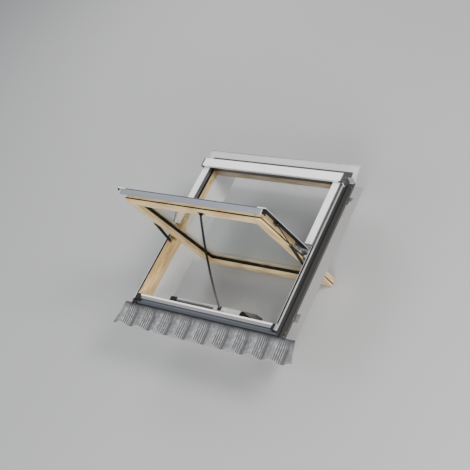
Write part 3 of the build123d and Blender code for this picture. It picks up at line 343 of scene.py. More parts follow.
def pressed_marks(look, color):
    """Paler cloudy patches of a second colour, where a soft sheet was pressed down."""
    tree = look.node_tree
    marks = noise(tree, object_coords(tree, Y, 0.6), 75.0, 2.0, 0.6)
    tint(look, color, ramp(tree, marks, ((0.46, grey(0.0)), (0.68, grey(0.65)))))


def glass(name, color):
    """Clear float glass with a faint green tint; it lets light through and mirrors at a low angle."""
    made, tree, shader = material(name, color, 0.02)
    shader.inputs["Transmission Weight"].default_value = 1.0
    shader.inputs["IOR"].default_value = 1.45
    smear = noise(tree, object_coords(tree), 6.0, 2.0, 0.5)
    tree.links.new(ramp(tree, smear, ((0.35, grey(0.01)), (0.75, grey(0.035)))), shader.inputs["Roughness"])
    return made


# Timber: plain pine, with the dark or pale faces of its lands and grooves, and painted light and shade: a
# shaded head with a painted shadow under the hood, lighter rails and a painted highlight on the lands
PINE_LIGHT = (0.80, 0.58, 0.29)
PINE_DARK = (0.60, 0.38, 0.16)
LIT_PINE = (0.86, 0.65, 0.35)
SHADED_LIGHT = (0.47, 0.36, 0.24)
SHADED_DARK = (0.32, 0.22, 0.13)
SILL_FACE_Y = 0.5860
HEAD_SHADE_Z = 0.0100
LAND_EDGE_X = 0.5485
COVER_START_Y = 0.0300
GROOVE_HALF = 0.0045
PAINT_SKIN = 0.0006
wood_sill = pine("pine_across", X, PINE_LIGHT, PINE_DARK, 0.31)
tint(wood_sill, (0.020, 0.018, 0.016), past(wood_sill, -Y, SILL_FACE_Y))
# The head: a darker copy of the pine as painted shade from the hood, near black at its top as a painted
# shadow under the hood's front
shaded_wood_head = pine("pine_head_shaded", X, SHADED_LIGHT, SHADED_DARK, 0.31)
tint(shaded_wood_head, (0.050, 0.040, 0.030), past(shaded_wood_head, Z, HEAD_SHADE_Z, 0.0040))
wood_frame = pine("pine_frame", Y, PINE_LIGHT, PINE_DARK, 0.83)
land = (past(wood_frame, Z, LAND_Z - 0.0010), past(wood_frame, X, LAND_EDGE_X, both=True))
# Top of each land at its inner edge in pale cream: a painted highlight
tint(wood_frame, (0.82, 0.80, 0.74), *land)
tint(wood_frame, (0.03, 0.03, 0.03), *land, past(wood_frame, Y, COVER_START_Y, 0.0020))
wood_sash_side = pine("pine_sash_side", VERT, PINE_LIGHT, PINE_DARK, 0.47)
# Rails: a lighter pine, painted light on rails that lie in shade deep in the opening
wood_sash_rail = pine("pine_sash_rail", X, LIT_PINE, PINE_DARK, 0.12)
for look in (wood_sash_side, wood_sash_rail):
    beside = past(look, X, SASH_X - PAINT_SKIN, 0.0003, both=True)
    ahead = past(look, -VERT, RAIL_END, 0.0003)
    outer_faces = math_node(look.node_tree, "MAXIMUM", beside, ahead)
    in_groove = (past(look, OUT, GROOVE - GROOVE_HALF), past(look, -OUT, -GROOVE - GROOVE_HALF))
    tint(look, (0.014, 0.011, 0.009), outer_faces, *in_groove)
    dull(look)

# Silver covers of the frame and the hood, with the dark edges of their folds
UPPER_COVER_EDGE_X = 0.5551
HOOD_END_X = 0.5440
HOOD_FRONT_Y = 0.5236
cap_lip_highlight = sheet_metal("cap_lip_highlight", (0.84, 0.84, 0.83), 0.42, 0.2, 0.05, Y)
cover_upper = sheet_metal("cover_upper", (0.84, 0.84, 0.83), 0.42, 0.2, 0.05, Y)
tint(cover_upper, (0.10, 0.10, 0.105), past(cover_upper, X, UPPER_COVER_EDGE_X, 0.0003, both=True))
hood_look = sheet_metal("hood_look", (0.86, 0.86, 0.85), 0.42, 0.2, 0.05)
hood_ends = past(hood_look, X, HOOD_END_X, 0.0004, both=True)
tint(hood_look, (0.03, 0.03, 0.032), hood_ends, past(hood_look, -Y, -HOOD_FRONT_Y, 0.0003))

# Covers of the sash: the blue-grey band, its blue cast partly a painted sky reflection, its pale ends a
# painted highlight, the bright tips with painted shade beneath, and the side covers with painted shade on
# their undersides
BAND_LIP = 0.0080
BAND_HIGHLIGHT_END = 0.0085
TIP_DEPTH = 0.0060
SIDE_DEPTH = 0.0055
# Grey sheet with a blue cast that is a painted sky reflection
cover_band = sheet_metal("cover_band", (0.30, 0.315, 0.37), 0.40, 0.45, 0.10)
tint(cover_band, (0.05, 0.055, 0.065), past(cover_band, OUT, OUTER_FACE - BAND_LIP, 0.0010))
# Pale strip at each end of the band: a painted highlight on its edge
tint(cover_band, (0.70, 0.71, 0.73), past(cover_band, X, BAND_END_X - BAND_HIGHLIGHT_END, both=True))
tip_look = sheet_metal("tip_look", (0.86, 0.86, 0.85), 0.42, 0.2, 0.05)
# Under the tips: near black as painted shade, and dark blue-grey where they lie inside the band's ends
tip_below = past(tip_look, -OUT, TIP_DEPTH - OUTER_FACE, 0.0004)
tip_inside = before(tip_look, X, BAND_END_X - HAIR, HAIR, both=True)
tint(tip_look, (0.014, 0.014, 0.015), tip_below)
tint(tip_look, (0.22, 0.225, 0.25), tip_below, tip_inside)
cover_side = sheet_metal("cover_side", (0.40, 0.41, 0.45), 0.5, 0.25, 0.06, VERT)
# Underside of the side covers near black: painted shade
tint(cover_side, (0.012, 0.012, 0.013), past(cover_side, -OUT, SIDE_DEPTH - OUTER_FACE))
dull(cover_side)
dull(tip_look)

# Cladding of the side timbers and the sill, whose bead, a cream painted highlight, falls into a grey slope,
# a painted shadow line, a nose and a blue-grey front of painted shade and sky reflection
SILL_FALL_Y = 0.5560
SILL_SHADOW_LINE_Y = 0.5735
SILL_FRONT_Y = 0.5780
cladding = sheet_metal("cladding", (0.58, 0.58, 0.575), 0.36, 0.4, 0.07, Y)
# Cream base colour: a painted highlight on the sill's bead
cladding_sill = sheet_metal("cladding_sill", (0.95, 0.915, 0.85), 0.38, 0.08, 0.04)
tint(cladding_sill, (0.19, 0.19, 0.195), past(cladding_sill, -Y, SILL_FALL_Y, 0.0020))
# Near-black painted shadow line below the slope
tint(cladding_sill, (0.02, 0.02, 0.022), past(cladding_sill, -Y, SILL_SHADOW_LINE_Y, 0.0010))
# Dark blue-grey front: painted shade with the blue cast of a painted sky reflection
tint(cladding_sill, (0.045, 0.050, 0.064), past(cladding_sill, -Y, SILL_FRONT_Y))

# Flashing: gutters with a painted shadow line at the foot of their upright and a pale hem, the front sheet
# with a painted shadow under its fold, and the top sheet with a painted shadow behind the hood
GUTTER_LOW_Z = 0.0140
GUTTER_SHADOW_HIGH_Z = 0.0270
GUTTER_SHADOW_LOW_Z = 0.0120
GUTTER_UPRIGHT_X = 0.5730
HEM_X = 0.6020
HEM_Z = 0.0150
FRONT_SHADOW_Y = 0.5940
HOOD_SHADE_Y = 0.6670
HOOD_SHADE_X = 0.5720
flashing_side = sheet_metal("flashing_side", (0.052, 0.053, 0.055), 0.5, 0.3, 0.16, Y)
tint(flashing_side, (0.058, 0.057, 0.055), past(flashing_side, -Z, -GUTTER_LOW_Z, 0.0020))
# Painted shadow line in the corner at the foot of the upright
tint(
    flashing_side, (0.010, 0.010, 0.011),
    past(flashing_side, -Z, -GUTTER_SHADOW_HIGH_Z, 0.0020),
    past(flashing_side, Z, GUTTER_SHADOW_LOW_Z, 0.0020),
    before(flashing_side, X, GUTTER_UPRIGHT_X, 0.0010, both=True),
)
tint(
    flashing_side, (0.095, 0.094, 0.092),
    past(flashing_side, Z, HEM_Z, 0.0006),
    past(flashing_side, X, HEM_X, 0.0010, both=True),
)
# Dark blue-grey: partly the sheet's grey, partly painted shade and sky reflection
flashing_front = sheet_metal("flashing_front", (0.115, 0.123, 0.148), 0.42, 0.3, 0.12)
# Near black below the fold: painted shadow of the nose on the apron
tint(flashing_front, (0.010, 0.010, 0.012), past(flashing_front, -Y, FRONT_SHADOW_Y))
flashing_top = sheet_metal("flashing_top", (0.62, 0.62, 0.62), 0.45, 0.3, 0.08)
# Dark strip just behind the hood: painted shadow
tint(
    flashing_top, (0.05, 0.05, 0.052),
    past(flashing_top, -Y, -HOOD_SHADE_Y, 0.0040),
    before(flashing_top, X, HOOD_SHADE_X, 0.0040, both=True),
)

# Apron: soft grey sheet with paler pressed marks, shaded under the sill
SILL_SHADE_Y = 0.6420
apron_sheet = sheet_metal("apron_sheet", (0.215, 0.218, 0.224), 0.55, 0.15, 0.30, Y, 0.4)
pressed_marks(apron_sheet, (0.47, 0.475, 0.48))
tint(apron_sheet, (0.045, 0.045, 0.048), past(apron_sheet, Y, -SILL_SHADE_Y, 0.0440))

# Rubber and moulded plastic, with the paler top of a corner block, the darker slanted end of the motor box
# and a painted shadow on its near corner
LIP_BRIGHT_X = 0.5510
LIP_BRIGHT_Z = 0.0758
CORNER_TOP_Z = 0.0690
CORNER_INNER_X = 0.5450
BOX_END_SLANT = (1, 0, 0.62)
BOX_END = 0.3460
BOX_SHADOW_SLANT = (-0.382, -0.924, 0)
BOX_SHADOW = 0.3553
rubber = moulded("rubber", (0.008, 0.008, 0.009), 0.62)
lip_look = moulded("lip_look", (0.012, 0.012, 0.013), 0.5)
lip_outside = past(lip_look, X, LIP_BRIGHT_X, 0.0002, both=True)
tint(lip_look, (0.58, 0.58, 0.57), lip_outside, past(lip_look, Z, LIP_BRIGHT_Z, 0.0002))
dark_plastic = moulded("dark_plastic", (0.02, 0.021, 0.023), 0.45)
corner_look = moulded("corner_look", (0.016, 0.016, 0.018), 0.45)
corner_top = past(corner_look, Z, CORNER_TOP_Z)
tint(corner_look, (0.26, 0.28, 0.30), corner_top, past(corner_look, X, CORNER_INNER_X))
trim_plastic = moulded("trim_plastic", (0.13, 0.13, 0.13), 0.42)
cap_plastic = moulded("cap_plastic", (0.055, 0.057, 0.06), 0.42)
box_plastic = moulded("box_plastic", (0.11, 0.107, 0.102), 0.45)
tint(box_plastic, (0.055, 0.054, 0.052), past(box_plastic, BOX_END_SLANT, BOX_END, 0.0015))
# Near black on the box's near corner: painted shadow
tint(box_plastic, (0.014, 0.013, 0.012), past(box_plastic, BOX_SHADOW_SLANT, BOX_SHADOW, 0.0007))
tube_black = moulded("tube_black", (0.014, 0.014, 0.016), 0.28)
spacer = moulded("spacer", (0.02, 0.018, 0.016), 0.5)

# Bare metal: fittings, gas springs, drive and chain
HOUSING_SHADE_Y = 0.0060
DRIVE_SHADE_Y = 0.5000
DRIVE_SHADOW_LINE_Y = 0.5130
CHAIN_DARK_Z = 0.34
zinc = brushed("zinc", (0.50, 0.50, 0.50), 0.34, Y)
housing_zinc = brushed("housing_zinc", (0.50, 0.50, 0.50), 0.34, Y)
# Near black under and just below the upper covers' ends: painted shade
tint(housing_zinc, (0.03, 0.03, 0.03), past(housing_zinc, Y, HOUSING_SHADE_Y, 0.0040))
rod_steel = brushed("rod_steel", (0.09, 0.09, 0.095), 0.25, Z)
bright_steel = brushed("bright_steel", (0.62, 0.61, 0.60), 0.3, Z)
ball_steel = brushed("ball_steel", (0.30, 0.27, 0.25), 0.4, Z)
bracket_steel = brushed("bracket_steel", (0.030, 0.030, 0.032), 0.42, X)
brass = brushed("brass", (0.62, 0.50, 0.44), 0.35, Z)
drive_metal = brushed("drive_metal", (0.72, 0.72, 0.71), 0.36, X)
# The drive's near side darker as painted shade, with a near-black painted shadow line towards the sill
tint(drive_metal, (0.24, 0.23, 0.22), past(drive_metal, -Y, DRIVE_SHADE_Y, 0.0030))
tint(drive_metal, (0.05, 0.044, 0.038), past(drive_metal, -Y, DRIVE_SHADOW_LINE_Y, 0.0010))
outlet_look = sheet_metal("outlet_look", (0.66, 0.66, 0.64), 0.4, 0.25, 0.08)
chain_steel = brushed("chain_steel", (0.035, 0.035, 0.038), 0.42, (0, 0.45, 0.89))
tint(chain_steel, (0.26, 0.26, 0.27), past(chain_steel, -Z, -CHAIN_DARK_Z, 0.26))

# Lining boards, painted on their inner faces and raw on their outer ones, and the panes
TOP_SPLAY = radians(40)
BOTTOM_SPLAY = radians(30)
TOP_BOARD_FACE = 0.4120
BOTTOM_BOARD_FACE = 0.4626
SIDE_BOARD_FACE = 0.5345
WHITE_PAINT = (0.88, 0.88, 0.88)
RAW_BOARD = (0.36, 0.355, 0.35)
white_board = board("white_board", WHITE_PAINT)
side_board = board("side_board", WHITE_PAINT)
for look in (white_board, side_board):
    above = (0, cos(TOP_SPLAY), sin(TOP_SPLAY))
    below = (0, -cos(BOTTOM_SPLAY), sin(BOTTOM_SPLAY))
    tint(look, RAW_BOARD, past(look, above, TOP_BOARD_FACE))
    tint(look, RAW_BOARD, past(look, below, BOTTOM_BOARD_FACE))
tint(side_board, RAW_BOARD, past(side_board, X, SIDE_BOARD_FACE, both=True))
pane = glass("pane", (0.93, 0.97, 0.96))

CAD_MATERIALS = {
    "frame_side_left": wood_frame, "frame_side_right": wood_frame,
    "frame_head": shaded_wood_head, "frame_sill": wood_sill,
    "sash_side_left": wood_sash_side, "sash_side_right": wood_sash_side,
    "sash_top_rail": wood_sash_rail, "sash_bottom_rail": wood_sash_rail,
    "corner_blocks": corner_look,
    "side_cladding_left": cladding, "side_cladding_right": cladding,
    "frame_seals": rubber, "sill_cladding": cladding_sill,
    "upper_cover_left": cover_upper, "upper_cover_right": cover_upper,
    "upper_trims": trim_plastic, "upper_seals": rubber,
    "top_hood": hood_look, "hood_cap_left": cap_plastic, "hood_cap_right": cap_plastic,
    "mounting_brackets": zinc, "side_flashing_left": flashing_side, "side_flashing_right": flashing_side,
    "top_flashing": flashing_top, "sill_flashing": flashing_front, "apron": apron_sheet,
    "sash_cover_seals": rubber,
    "lining_left": side_board, "lining_right": side_board,
    "lining_top": white_board, "lining_bottom": white_board,
    "hinge_housing_left": housing_zinc, "hinge_housing_right": housing_zinc,
    "hinge_shoe_left": zinc, "hinge_shoe_right": zinc,
    "sash_seal": rubber, "inner_pane": pane, "outer_pane": pane, "glass_spacer": spacer,
    "glazing_bead": cladding, "sash_cover_left": cover_side, "sash_cover_right": cover_side,
    "sash_bottom_cover": cover_band, "sash_cover_tips": tip_look,
    "gas_frame_studs": zinc, "gas_sash_studs": zinc,
    "gas_cylinder_left": tube_black, "gas_cylinder_right": tube_black,
    "gas_rod_left": rod_steel, "gas_rod_right": rod_steel,
    "actuator_profile": drive_metal, "actuator_end_block": dark_plastic,
    "actuator_motor_box": box_plastic, "actuator_brackets": zinc, "actuator_outlet": outlet_look,
    "chain": chain_steel, "chain_bracket": bracket_steel, "cover_screws": zinc,
}
for name, obj in frame["nodes"].items():
    obj.data.materials.clear()
    obj.data.materials.append(CAD_MATERIALS[name])


# Surfaces: a surface is an array of points and a list of arrays of faces, one row of corners each
def grid_faces(rows, columns, rows_close=False, columns_close=False):
    """Four-cornered faces between the neighbours of a grid of points; a direction may close on itself."""
    i = np.arange(rows if rows_close else rows - 1)[:, None]
    j = np.arange(columns if columns_close else columns - 1)[None]
    below, beside = (i + 1) % rows, (j + 1) % columns
    corners = (i * columns + j, below * columns + j, below * columns + beside, i * columns + beside)
    return np.stack(corners, axis=2).reshape(-1, 4)


def thin_sheet(grid, thickness):
    """A closed sheet: the grid of points, a copy moved back along its normals, and a rim round both."""
    rows, columns, _ = grid.shape
    count = rows * columns
    normals = np.cross(np.gradient(grid, axis=0), np.gradient(grid, axis=1))
    normals /= np.linalg.norm(normals, axis=2, keepdims=True)
    points = np.concatenate([grid.reshape(-1, 3), (grid - normals * thickness).reshape(-1, 3)])
    front = grid_faces(rows, columns)
    index = np.arange(count).reshape(rows, columns)
    rim = np.concatenate([index[:, 0], index[-1, 1:], index[-2::-1, -1], index[0, -2:0:-1]])
    ahead = np.roll(rim, -1)
    edge = np.stack([ahead, rim, rim + count, ahead + count], axis=1)
    return points, [front, front[:, ::-1] + count, edge]


def pushed(outline, base, first, second, third, low, high):
    """An outline (a, b) at base + a * first + b * second, pushed along third from low to high."""
    outline = np.asarray(outline, float)
    flat = base + outline[:, :1] * first + outline[:, 1:] * second
    ends = np.concatenate([flat + third * low, flat + third * high])
    count = len(outline)
    cap = np.arange(count)[None]
    return ends, [grid_faces(2, count, columns_close=True), cap[:, ::-1], cap + count]


def turned(profile, base, axis, segments=20):
    """A profile of (along, radius) turned about an axis: base + along * axis + radius * (cos t, sin t)."""
    axis = axis / np.linalg.norm(axis)
    first = np.cross(axis, X if abs(axis[0]) < 0.9 else Y)
    first /= np.linalg.norm(first)
    turn = np.arange(segments)[:, None] * 2 * pi / segments
    circle = np.cos(turn) * first + np.sin(turn) * np.cross(axis, first)
    along, radius = np.asarray(profile, float).T[:, :, None, None]
    points = (base + along * axis + radius * circle).reshape(-1, 3)
    walls = grid_faces(len(profile), segments, columns_close=True)
    cap = np.arange(segments)[None]
    return points, [walls, cap[:, ::-1], cap + len(points) - segments]


def rounded(width, height, radius, steps=4):
    """The outline of a rectangle with round corners: a quarter turn about each corner's centre."""
    turn = np.linspace(0, pi / 2, steps)[None] + np.arange(4)[:, None] * pi / 2
    centre = np.array(((1, 1), (-1, 1), (-1, -1), (1, -1))) * (width / 2 - radius, height / 2 - radius)
    corner = np.stack([np.cos(turn), np.sin(turn)], axis=2) * radius
    return (centre[:, None] + corner).reshape(-1, 2)


def mitred(half_x, low, high, profile):
    """A profile of (inset, n) carried round a rectangle on the open sash, with mitred corners."""
    inset, n = np.asarray(profile, float).T
    way_x, way_v = np.array(((-1, 1), (1, 1), (1, -1), (-1, -1))).T[:, :, None]
    edge = np.array((low, low, high, high))[:, None]
    points = sash(way_x * (half_x - inset), edge + way_v * inset, n + 0 * way_x).reshape(-1, 3)
    return points, [grid_faces(4, len(profile), True, True)]


def joined(surfaces):
    """Several surfaces as one: each one's faces count on from the points before it."""
    starts = np.cumsum([0] + [len(points) for points, _ in surfaces])
    points = np.concatenate([points for points, _ in surfaces])
    return points, [group + start for (_, groups), start in zip(surfaces, starts) for group in groups]


def piece(name, surface, finish, body, replaces=(), sharp=radians(35)):
    """A new object from a surface, its faces turned outwards, with its finish, riding on a body."""
    points, groups = surface
    mesh = bpy.data.meshes.new(name)
    mesh.from_pydata(points.tolist(), [], [corners for group in groups for corners in group.tolist()])
    shape = bmesh.new()
    shape.from_mesh(mesh)
    bmesh.ops.recalc_face_normals(shape, faces=shape.faces)
    shape.to_mesh(mesh)
    shape.free()
    mesh.polygons.foreach_set("use_smooth", [True] * len(mesh.polygons))
    mesh.set_sharp_from_angle(angle=sharp)
    mesh.materials.append(finish)
    made = bpy.data.objects.new(name, mesh)
    bpy.context.scene.collection.objects.link(made)
    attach(made, body)
    if replaces:
        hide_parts(*replaces)
    return made


SCREW_HEAD = np.array(
    ((-0.3, 0.96), (0.25, 1.0), (0.50, 0.90), (0.62, 0.70), (0.62, 0.42), (0.55, 0.36), (0.15, 0.34))
)


def screws(places, axis, radius):
    """Screw heads with a rounded edge and a sunk socket; axis is one direction or one for each place."""
    axes = np.broadcast_to(axis, np.shape(places))
    return joined([turned(SCREW_HEAD * radius, place, way, 18) for place, way in zip(places, axes)])


# Rubber round the glass, on its inner and its outer side, as profiles of (inset, n)
INNER_GASKET = (
    (-0.0005, -0.0650), (-0.0005, -0.0750), (0.0030, -0.0765),
    (0.0110, -0.0710), (0.0135, -0.0690), (0.0140, -0.0650),
)
OUTER_GASKET = (
    (-HAIR, GLASS_OUT), (-HAIR, GLASS_OUT + 0.0028), (0.0023, GLASS_OUT + 0.0024), (0.0043, GLASS_OUT),
)
for name, profile in (("room_side_gasket", INNER_GASKET), ("outer_gasket", OUTER_GASKET)):
    gasket = mitred(SASH_OPENING_X, OPENING_LOW, OPENING_HIGH, profile)
    piece(name, gasket, rubber, "sash")

# Screws on the upper covers and the hood caps
COVER_SCREW_RADIUS = 0.0050
COVER_SCREW_LIFT = 0.0005
CAP_SCREW_RADIUS = 0.0040
CAP_SCREW_DROP = 0.028
CAP_SCREW_FRONT = 0.017
CAP_SCREW_BACK = 0.015
screw_low, screw_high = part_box("cover_screws")
cover_screw_x = screw_high.x - (screw_high.y - screw_low.y) / 2
cover_screw_z = screw_low.z + COVER_SCREW_LIFT
places = [(way * cover_screw_x, middle("cover_screws")[1], cover_screw_z) for _, way in SIDES]
heads = screws(places, Z, COVER_SCREW_RADIUS)
piece("cover_screw_heads", heads, zinc, "frame", ("cover_screws",))
cap_low, cap_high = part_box("hood_cap_right")
places = [
    (way * cap_high.x, y, cap_high.z - CAP_SCREW_DROP)
    for _, way in SIDES
    for y in (cap_low.y + CAP_SCREW_FRONT, cap_high.y - CAP_SCREW_BACK)
]
axes = np.repeat([-X, X], 2, axis=0)
heads = screws(places, axes, CAP_SCREW_RADIUS)
piece("hood_cap_screws", heads, zinc, "frame")

# Pale lip down the front edge of each hood cap: a painted highlight on the cap's edge
CAP_LIP = ((0.0, 0.0), (0.0034, 0.0), (0.0034, -0.0430), (0.0, -0.0400))
CAP_LIP_DROP = 0.020
CAP_LIP_DEPTH = 0.0060
CAP_LIP_PROUD = 0.0008
for side, way in SIDES:
    corner = np.array((way * cap_high.x, cap_low.y - 2 * HAIR, cap_high.z - CAP_LIP_DROP))
    lip = pushed(CAP_LIP, corner, Y, Z, way * X, -CAP_LIP_DEPTH, CAP_LIP_PROUD)
    piece(f"hood_cap_lip_{side}", lip, cap_lip_highlight, "frame")

# Hinge plates: screws at places (v, n), a brass bush near the upper end and two dark slots
PLATE_PROUD = 0.0034
PLATE_FACE_X = SASH_X + PLATE_PROUD
PLATE_MIDDLE_N = -0.060
PLATE_SCREWS = ((-0.096, -0.052), (-0.096, -0.068), (-0.030, -0.052), (0.084, -0.052), (0.084, -0.068))
PLATE_SCREW_RADIUS = 0.0042
BUSH = ((-0.0020, 0.0080), (0.0030, 0.0080), (0.0042, 0.0066), (0.0042, 0.0036), (0.0020, 0.0034))
BUSH_V = -0.070
PLATE_SLOT = rounded(0.030, 0.0036, 0.0017)
PLATE_SLOTS_V = (-0.040, 0.055)
plate_v, plate_n = np.array(PLATE_SCREWS).T
places = np.concatenate([sash(way * PLATE_FACE_X, plate_v, plate_n) for _, way in SIDES])
axes = np.repeat([-X, X], len(PLATE_SCREWS), axis=0)
heads = screws(places, axes, PLATE_SCREW_RADIUS)
piece("hinge_plate_screws", heads, bright_steel, "sash")
for side, way in SIDES:
    bush = turned(BUSH, sash(way * PLATE_FACE_X, BUSH_V, PLATE_MIDDLE_N), way * X, 22)
    piece(f"hinge_bush_{side}", bush, brass, "sash")
    slots = [
        pushed(PLATE_SLOT, sash(way * PLATE_FACE_X, v, PLATE_MIDDLE_N), VERT, OUT, way * X, -HAIR, 2 * HAIR)
        for v in PLATE_SLOTS_V
    ]
    piece(f"hinge_slots_{side}", joined(slots), dark_plastic, "sash")

# Small black plugs in the sides of the sash, near its lower corners
PLUG = rounded(0.038, 0.0085, 0.0040)
PLUG_V = -0.533
PLUG_N = -0.0505
PLUG_DEPTH = 0.0010
PLUG_PROUD = 0.0006
for side, way in SIDES:
    place = sash(way * SASH_X, PLUG_V, PLUG_N)
    plug = pushed(PLUG, place, VERT, OUT, way * X, -PLUG_DEPTH, PLUG_PROUD)
    piece(f"sash_plug_{side}", plug, dark_plastic, "sash")

# Ends of the lower cover, in one plane with it, below the tips
BAND_V = -0.606
BAND_LOW_N = -0.080
BAND_HIGH_N = -0.0472
BAND_SHEET = 0.0012
cover_end_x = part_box("sash_bottom_cover")[1].x + HAIR
band_end = (
    (cover_end_x, BAND_LOW_N), (BAND_END_X, BAND_LOW_N),
    (BAND_END_X, BAND_HIGH_N), (cover_end_x, BAND_HIGH_N),
)
ends = [pushed(band_end, PIVOT, way * X, OUT, VERT, BAND_V, BAND_V + BAND_SHEET) for _, way in SIDES]
piece("lower_cover_ends", joined(ends), cover_band, "sash")

# Lips on the inner edges of the side timbers' lands, up to the upper covers
LAND_LIP = (
    (0.0, -0.0006), (0.0014, -0.0006), (0.0014, 0.0120),
    (0.0022, 0.0130), (0.0016, 0.0140), (0.0, 0.0136),
)
LAND_LIP_X = 0.5503
LAND_LIP_START_Y = -0.530
LAND_LIP_GAP = 0.002
land_lip_end_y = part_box("frame_seals")[1].y - LAND_LIP_GAP
lips = [
    pushed(LAND_LIP, (way * LAND_LIP_X, 0.0, LAND_Z), way * X, Z, Y, LAND_LIP_START_Y, land_lip_end_y)
    for _, way in SIDES
]
piece("land_lips", joined(lips), lip_look, "frame")

# Gas springs: neck and collar on the tube, seal ring, ball socket, ball and the pin at the foot, each
# a profile of (along, radius)
GAS_X = 0.536
GAS_TUBE = 0.228
GAS_FOOT = middle("gas_frame_studs")
GAS_TOP = middle("gas_sash_studs")
GAS_AXIS = (GAS_TOP - GAS_FOOT) / np.linalg.norm(GAS_TOP - GAS_FOOT)
TUBE_NECK = (
    (0.014, 0.0045), (0.015, 0.0072), (0.021, 0.0080), (0.022, 0.0106), (0.030, 0.0108),
    (0.030, 0.0104), (0.0305, 0.0104),
)
TUBE_COLLAR = (
    (-0.0095, 0.0104), (-0.0090, 0.0117), (-0.0010, 0.0118), (0.0008, 0.0112), (0.0020, 0.0080),
    (0.0022, 0.0044),
)
ROD_SEAL = ((0.0018, 0.0070), (0.0032, 0.0066), (0.0036, 0.0044))
SOCKET_RING = ((0.0066, 0.0126), (0.0084, 0.0124), (0.0094, 0.0110), (0.0094, 0.0050), (0.0080, 0.0048))
SOCKET_NECK = ((-0.0270, 0.0044), (-0.0210, 0.0052), (-0.0120, 0.0068), (-0.0070, 0.0068))
BALL = ((0.0074, 0.0042), (0.0090, 0.0042), (0.0102, 0.0031), (0.0107, 0.0012))
FOOT_PIN = ((0.0040, 0.0062), (0.0056, 0.0060), (0.0064, 0.0046), (0.0064, 0.0020), (0.0052, 0.0018))
for side, way in SIDES:
    foot = GAS_FOOT + way * GAS_X * X
    top = GAS_TOP + way * GAS_X * X
    tube_end = foot + GAS_TUBE * GAS_AXIS
    rings = joined([turned(TUBE_NECK, foot, GAS_AXIS, 24), turned(TUBE_COLLAR, tube_end, GAS_AXIS, 24)])
    piece(f"gas_tube_rings_{side}", rings, tube_black, f"gas_cylinder_{side}")
    seal = turned(ROD_SEAL, tube_end, GAS_AXIS)
    piece(f"gas_rod_seal_{side}", seal, bright_steel, f"gas_cylinder_{side}")
    socket = joined([turned(SOCKET_RING, top, way * X, 24), turned(SOCKET_NECK, top, GAS_AXIS, 16)])
    piece(f"gas_ball_socket_{side}", socket, tube_black, f"gas_rod_{side}")
    piece(f"gas_ball_{side}", turned(BALL, top, way * X, 18), ball_steel, f"gas_rod_{side}")
    piece(f"gas_foot_pin_{side}", turned(FOOT_PIN, foot, -way * X, 18), bright_steel, "frame")

# Chain drive: screws of its clips and end, seams of the motor box, ribs, and the rim of the outlet
DRIVE = middle("actuator_profile")
DRIVE_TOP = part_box("actuator_profile")[1].z
END_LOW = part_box("actuator_end_block")[0]
BOX_LOW, BOX_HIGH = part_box("actuator_motor_box")
CLIP_LOW, CLIP_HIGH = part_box("actuator_brackets")
CHAIN_X = float(middle("chain")[0])
OUTLET = np.array((CHAIN_X, DRIVE[1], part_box("actuator_outlet")[1].z))
CLIP_SCREW_RADIUS = 0.0034
CLIP_SCREW_AXIS = (0, 1, 0.25)
CLIP_MIDDLE = 0.017
CLIP_SCREWS_HALF = 0.011
CLIP_SCREW_LIFT = 0.004
END_SCREW_RADIUS = 0.0030
END_SCREWS_HALF_Y = 0.013
END_SCREWS_HALF_Z = 0.016
SEAM = rounded(0.0414, 0.0474, 0.0032)
SEAM_WIDTH = 0.0012
SEAM_LEFT = 0.024
SEAM_RIGHT = 0.048
RIB = rounded(0.0414, 0.0474, 0.0060)
RIB_WIDTH = 0.0016
RIB_STARTS = np.array((0.010, 0.016, 0.022, 0.045))
OUTLET_LIP = rounded(0.0900, 0.0022, 0.0008)
OUTLET_LIP_Y = 0.0162
OUTLET_LIP_HEIGHT = 0.0006
COLLAR = rounded(0.0300, 0.0290, 0.0030)
COLLAR_DEPTH = 0.0030


def drive_rings(outline, starts, width):
    """Thin rings round the drive, each an outline pushed along X from its start."""
    return joined([pushed(outline, (start, DRIVE[1], DRIVE[2]), Y, Z, X, 0.0, width) for start in starts])


places = [
    (clip_x + way * CLIP_SCREWS_HALF, CLIP_HIGH.y - HAIR, DRIVE[2] + CLIP_SCREW_LIFT)
    for clip_x in (CLIP_LOW.x + CLIP_MIDDLE, CLIP_HIGH.x - CLIP_MIDDLE)
    for _, way in SIDES
]
heads = screws(places, CLIP_SCREW_AXIS, CLIP_SCREW_RADIUS)
piece("drive_clip_screws", heads, bright_steel, "frame")
places = [
    (END_LOW.x, DRIVE[1] + way_y * END_SCREWS_HALF_Y, DRIVE[2] + way_z * END_SCREWS_HALF_Z)
    for _, way_y in SIDES
    for _, way_z in SIDES
]
heads = screws(places, -X, END_SCREW_RADIUS)
piece("drive_end_screws", heads, bright_steel, "frame")
seams = drive_rings(SEAM, (BOX_LOW.x + SEAM_LEFT, BOX_HIGH.x - SEAM_RIGHT), SEAM_WIDTH)
piece("motor_box_seams", seams, dark_plastic, "frame")
ribs = drive_rings(RIB, END_LOW.x + RIB_STARTS, RIB_WIDTH)
piece("end_block_ribs", ribs, dark_plastic, "frame")
lips = [
    pushed(OUTLET_LIP, OUTLET + way * OUTLET_LIP_Y * Y, X, Y, Z, -HAIR, OUTLET_LIP_HEIGHT)
    for _, way in SIDES
]
piece("outlet_lips", joined(lips), zinc, "frame")
collar = pushed(COLLAR, OUTLET, X, Y, Z, -COLLAR_DEPTH, 2 * HAIR)
piece("outlet_collar", collar, dark_plastic, "frame")

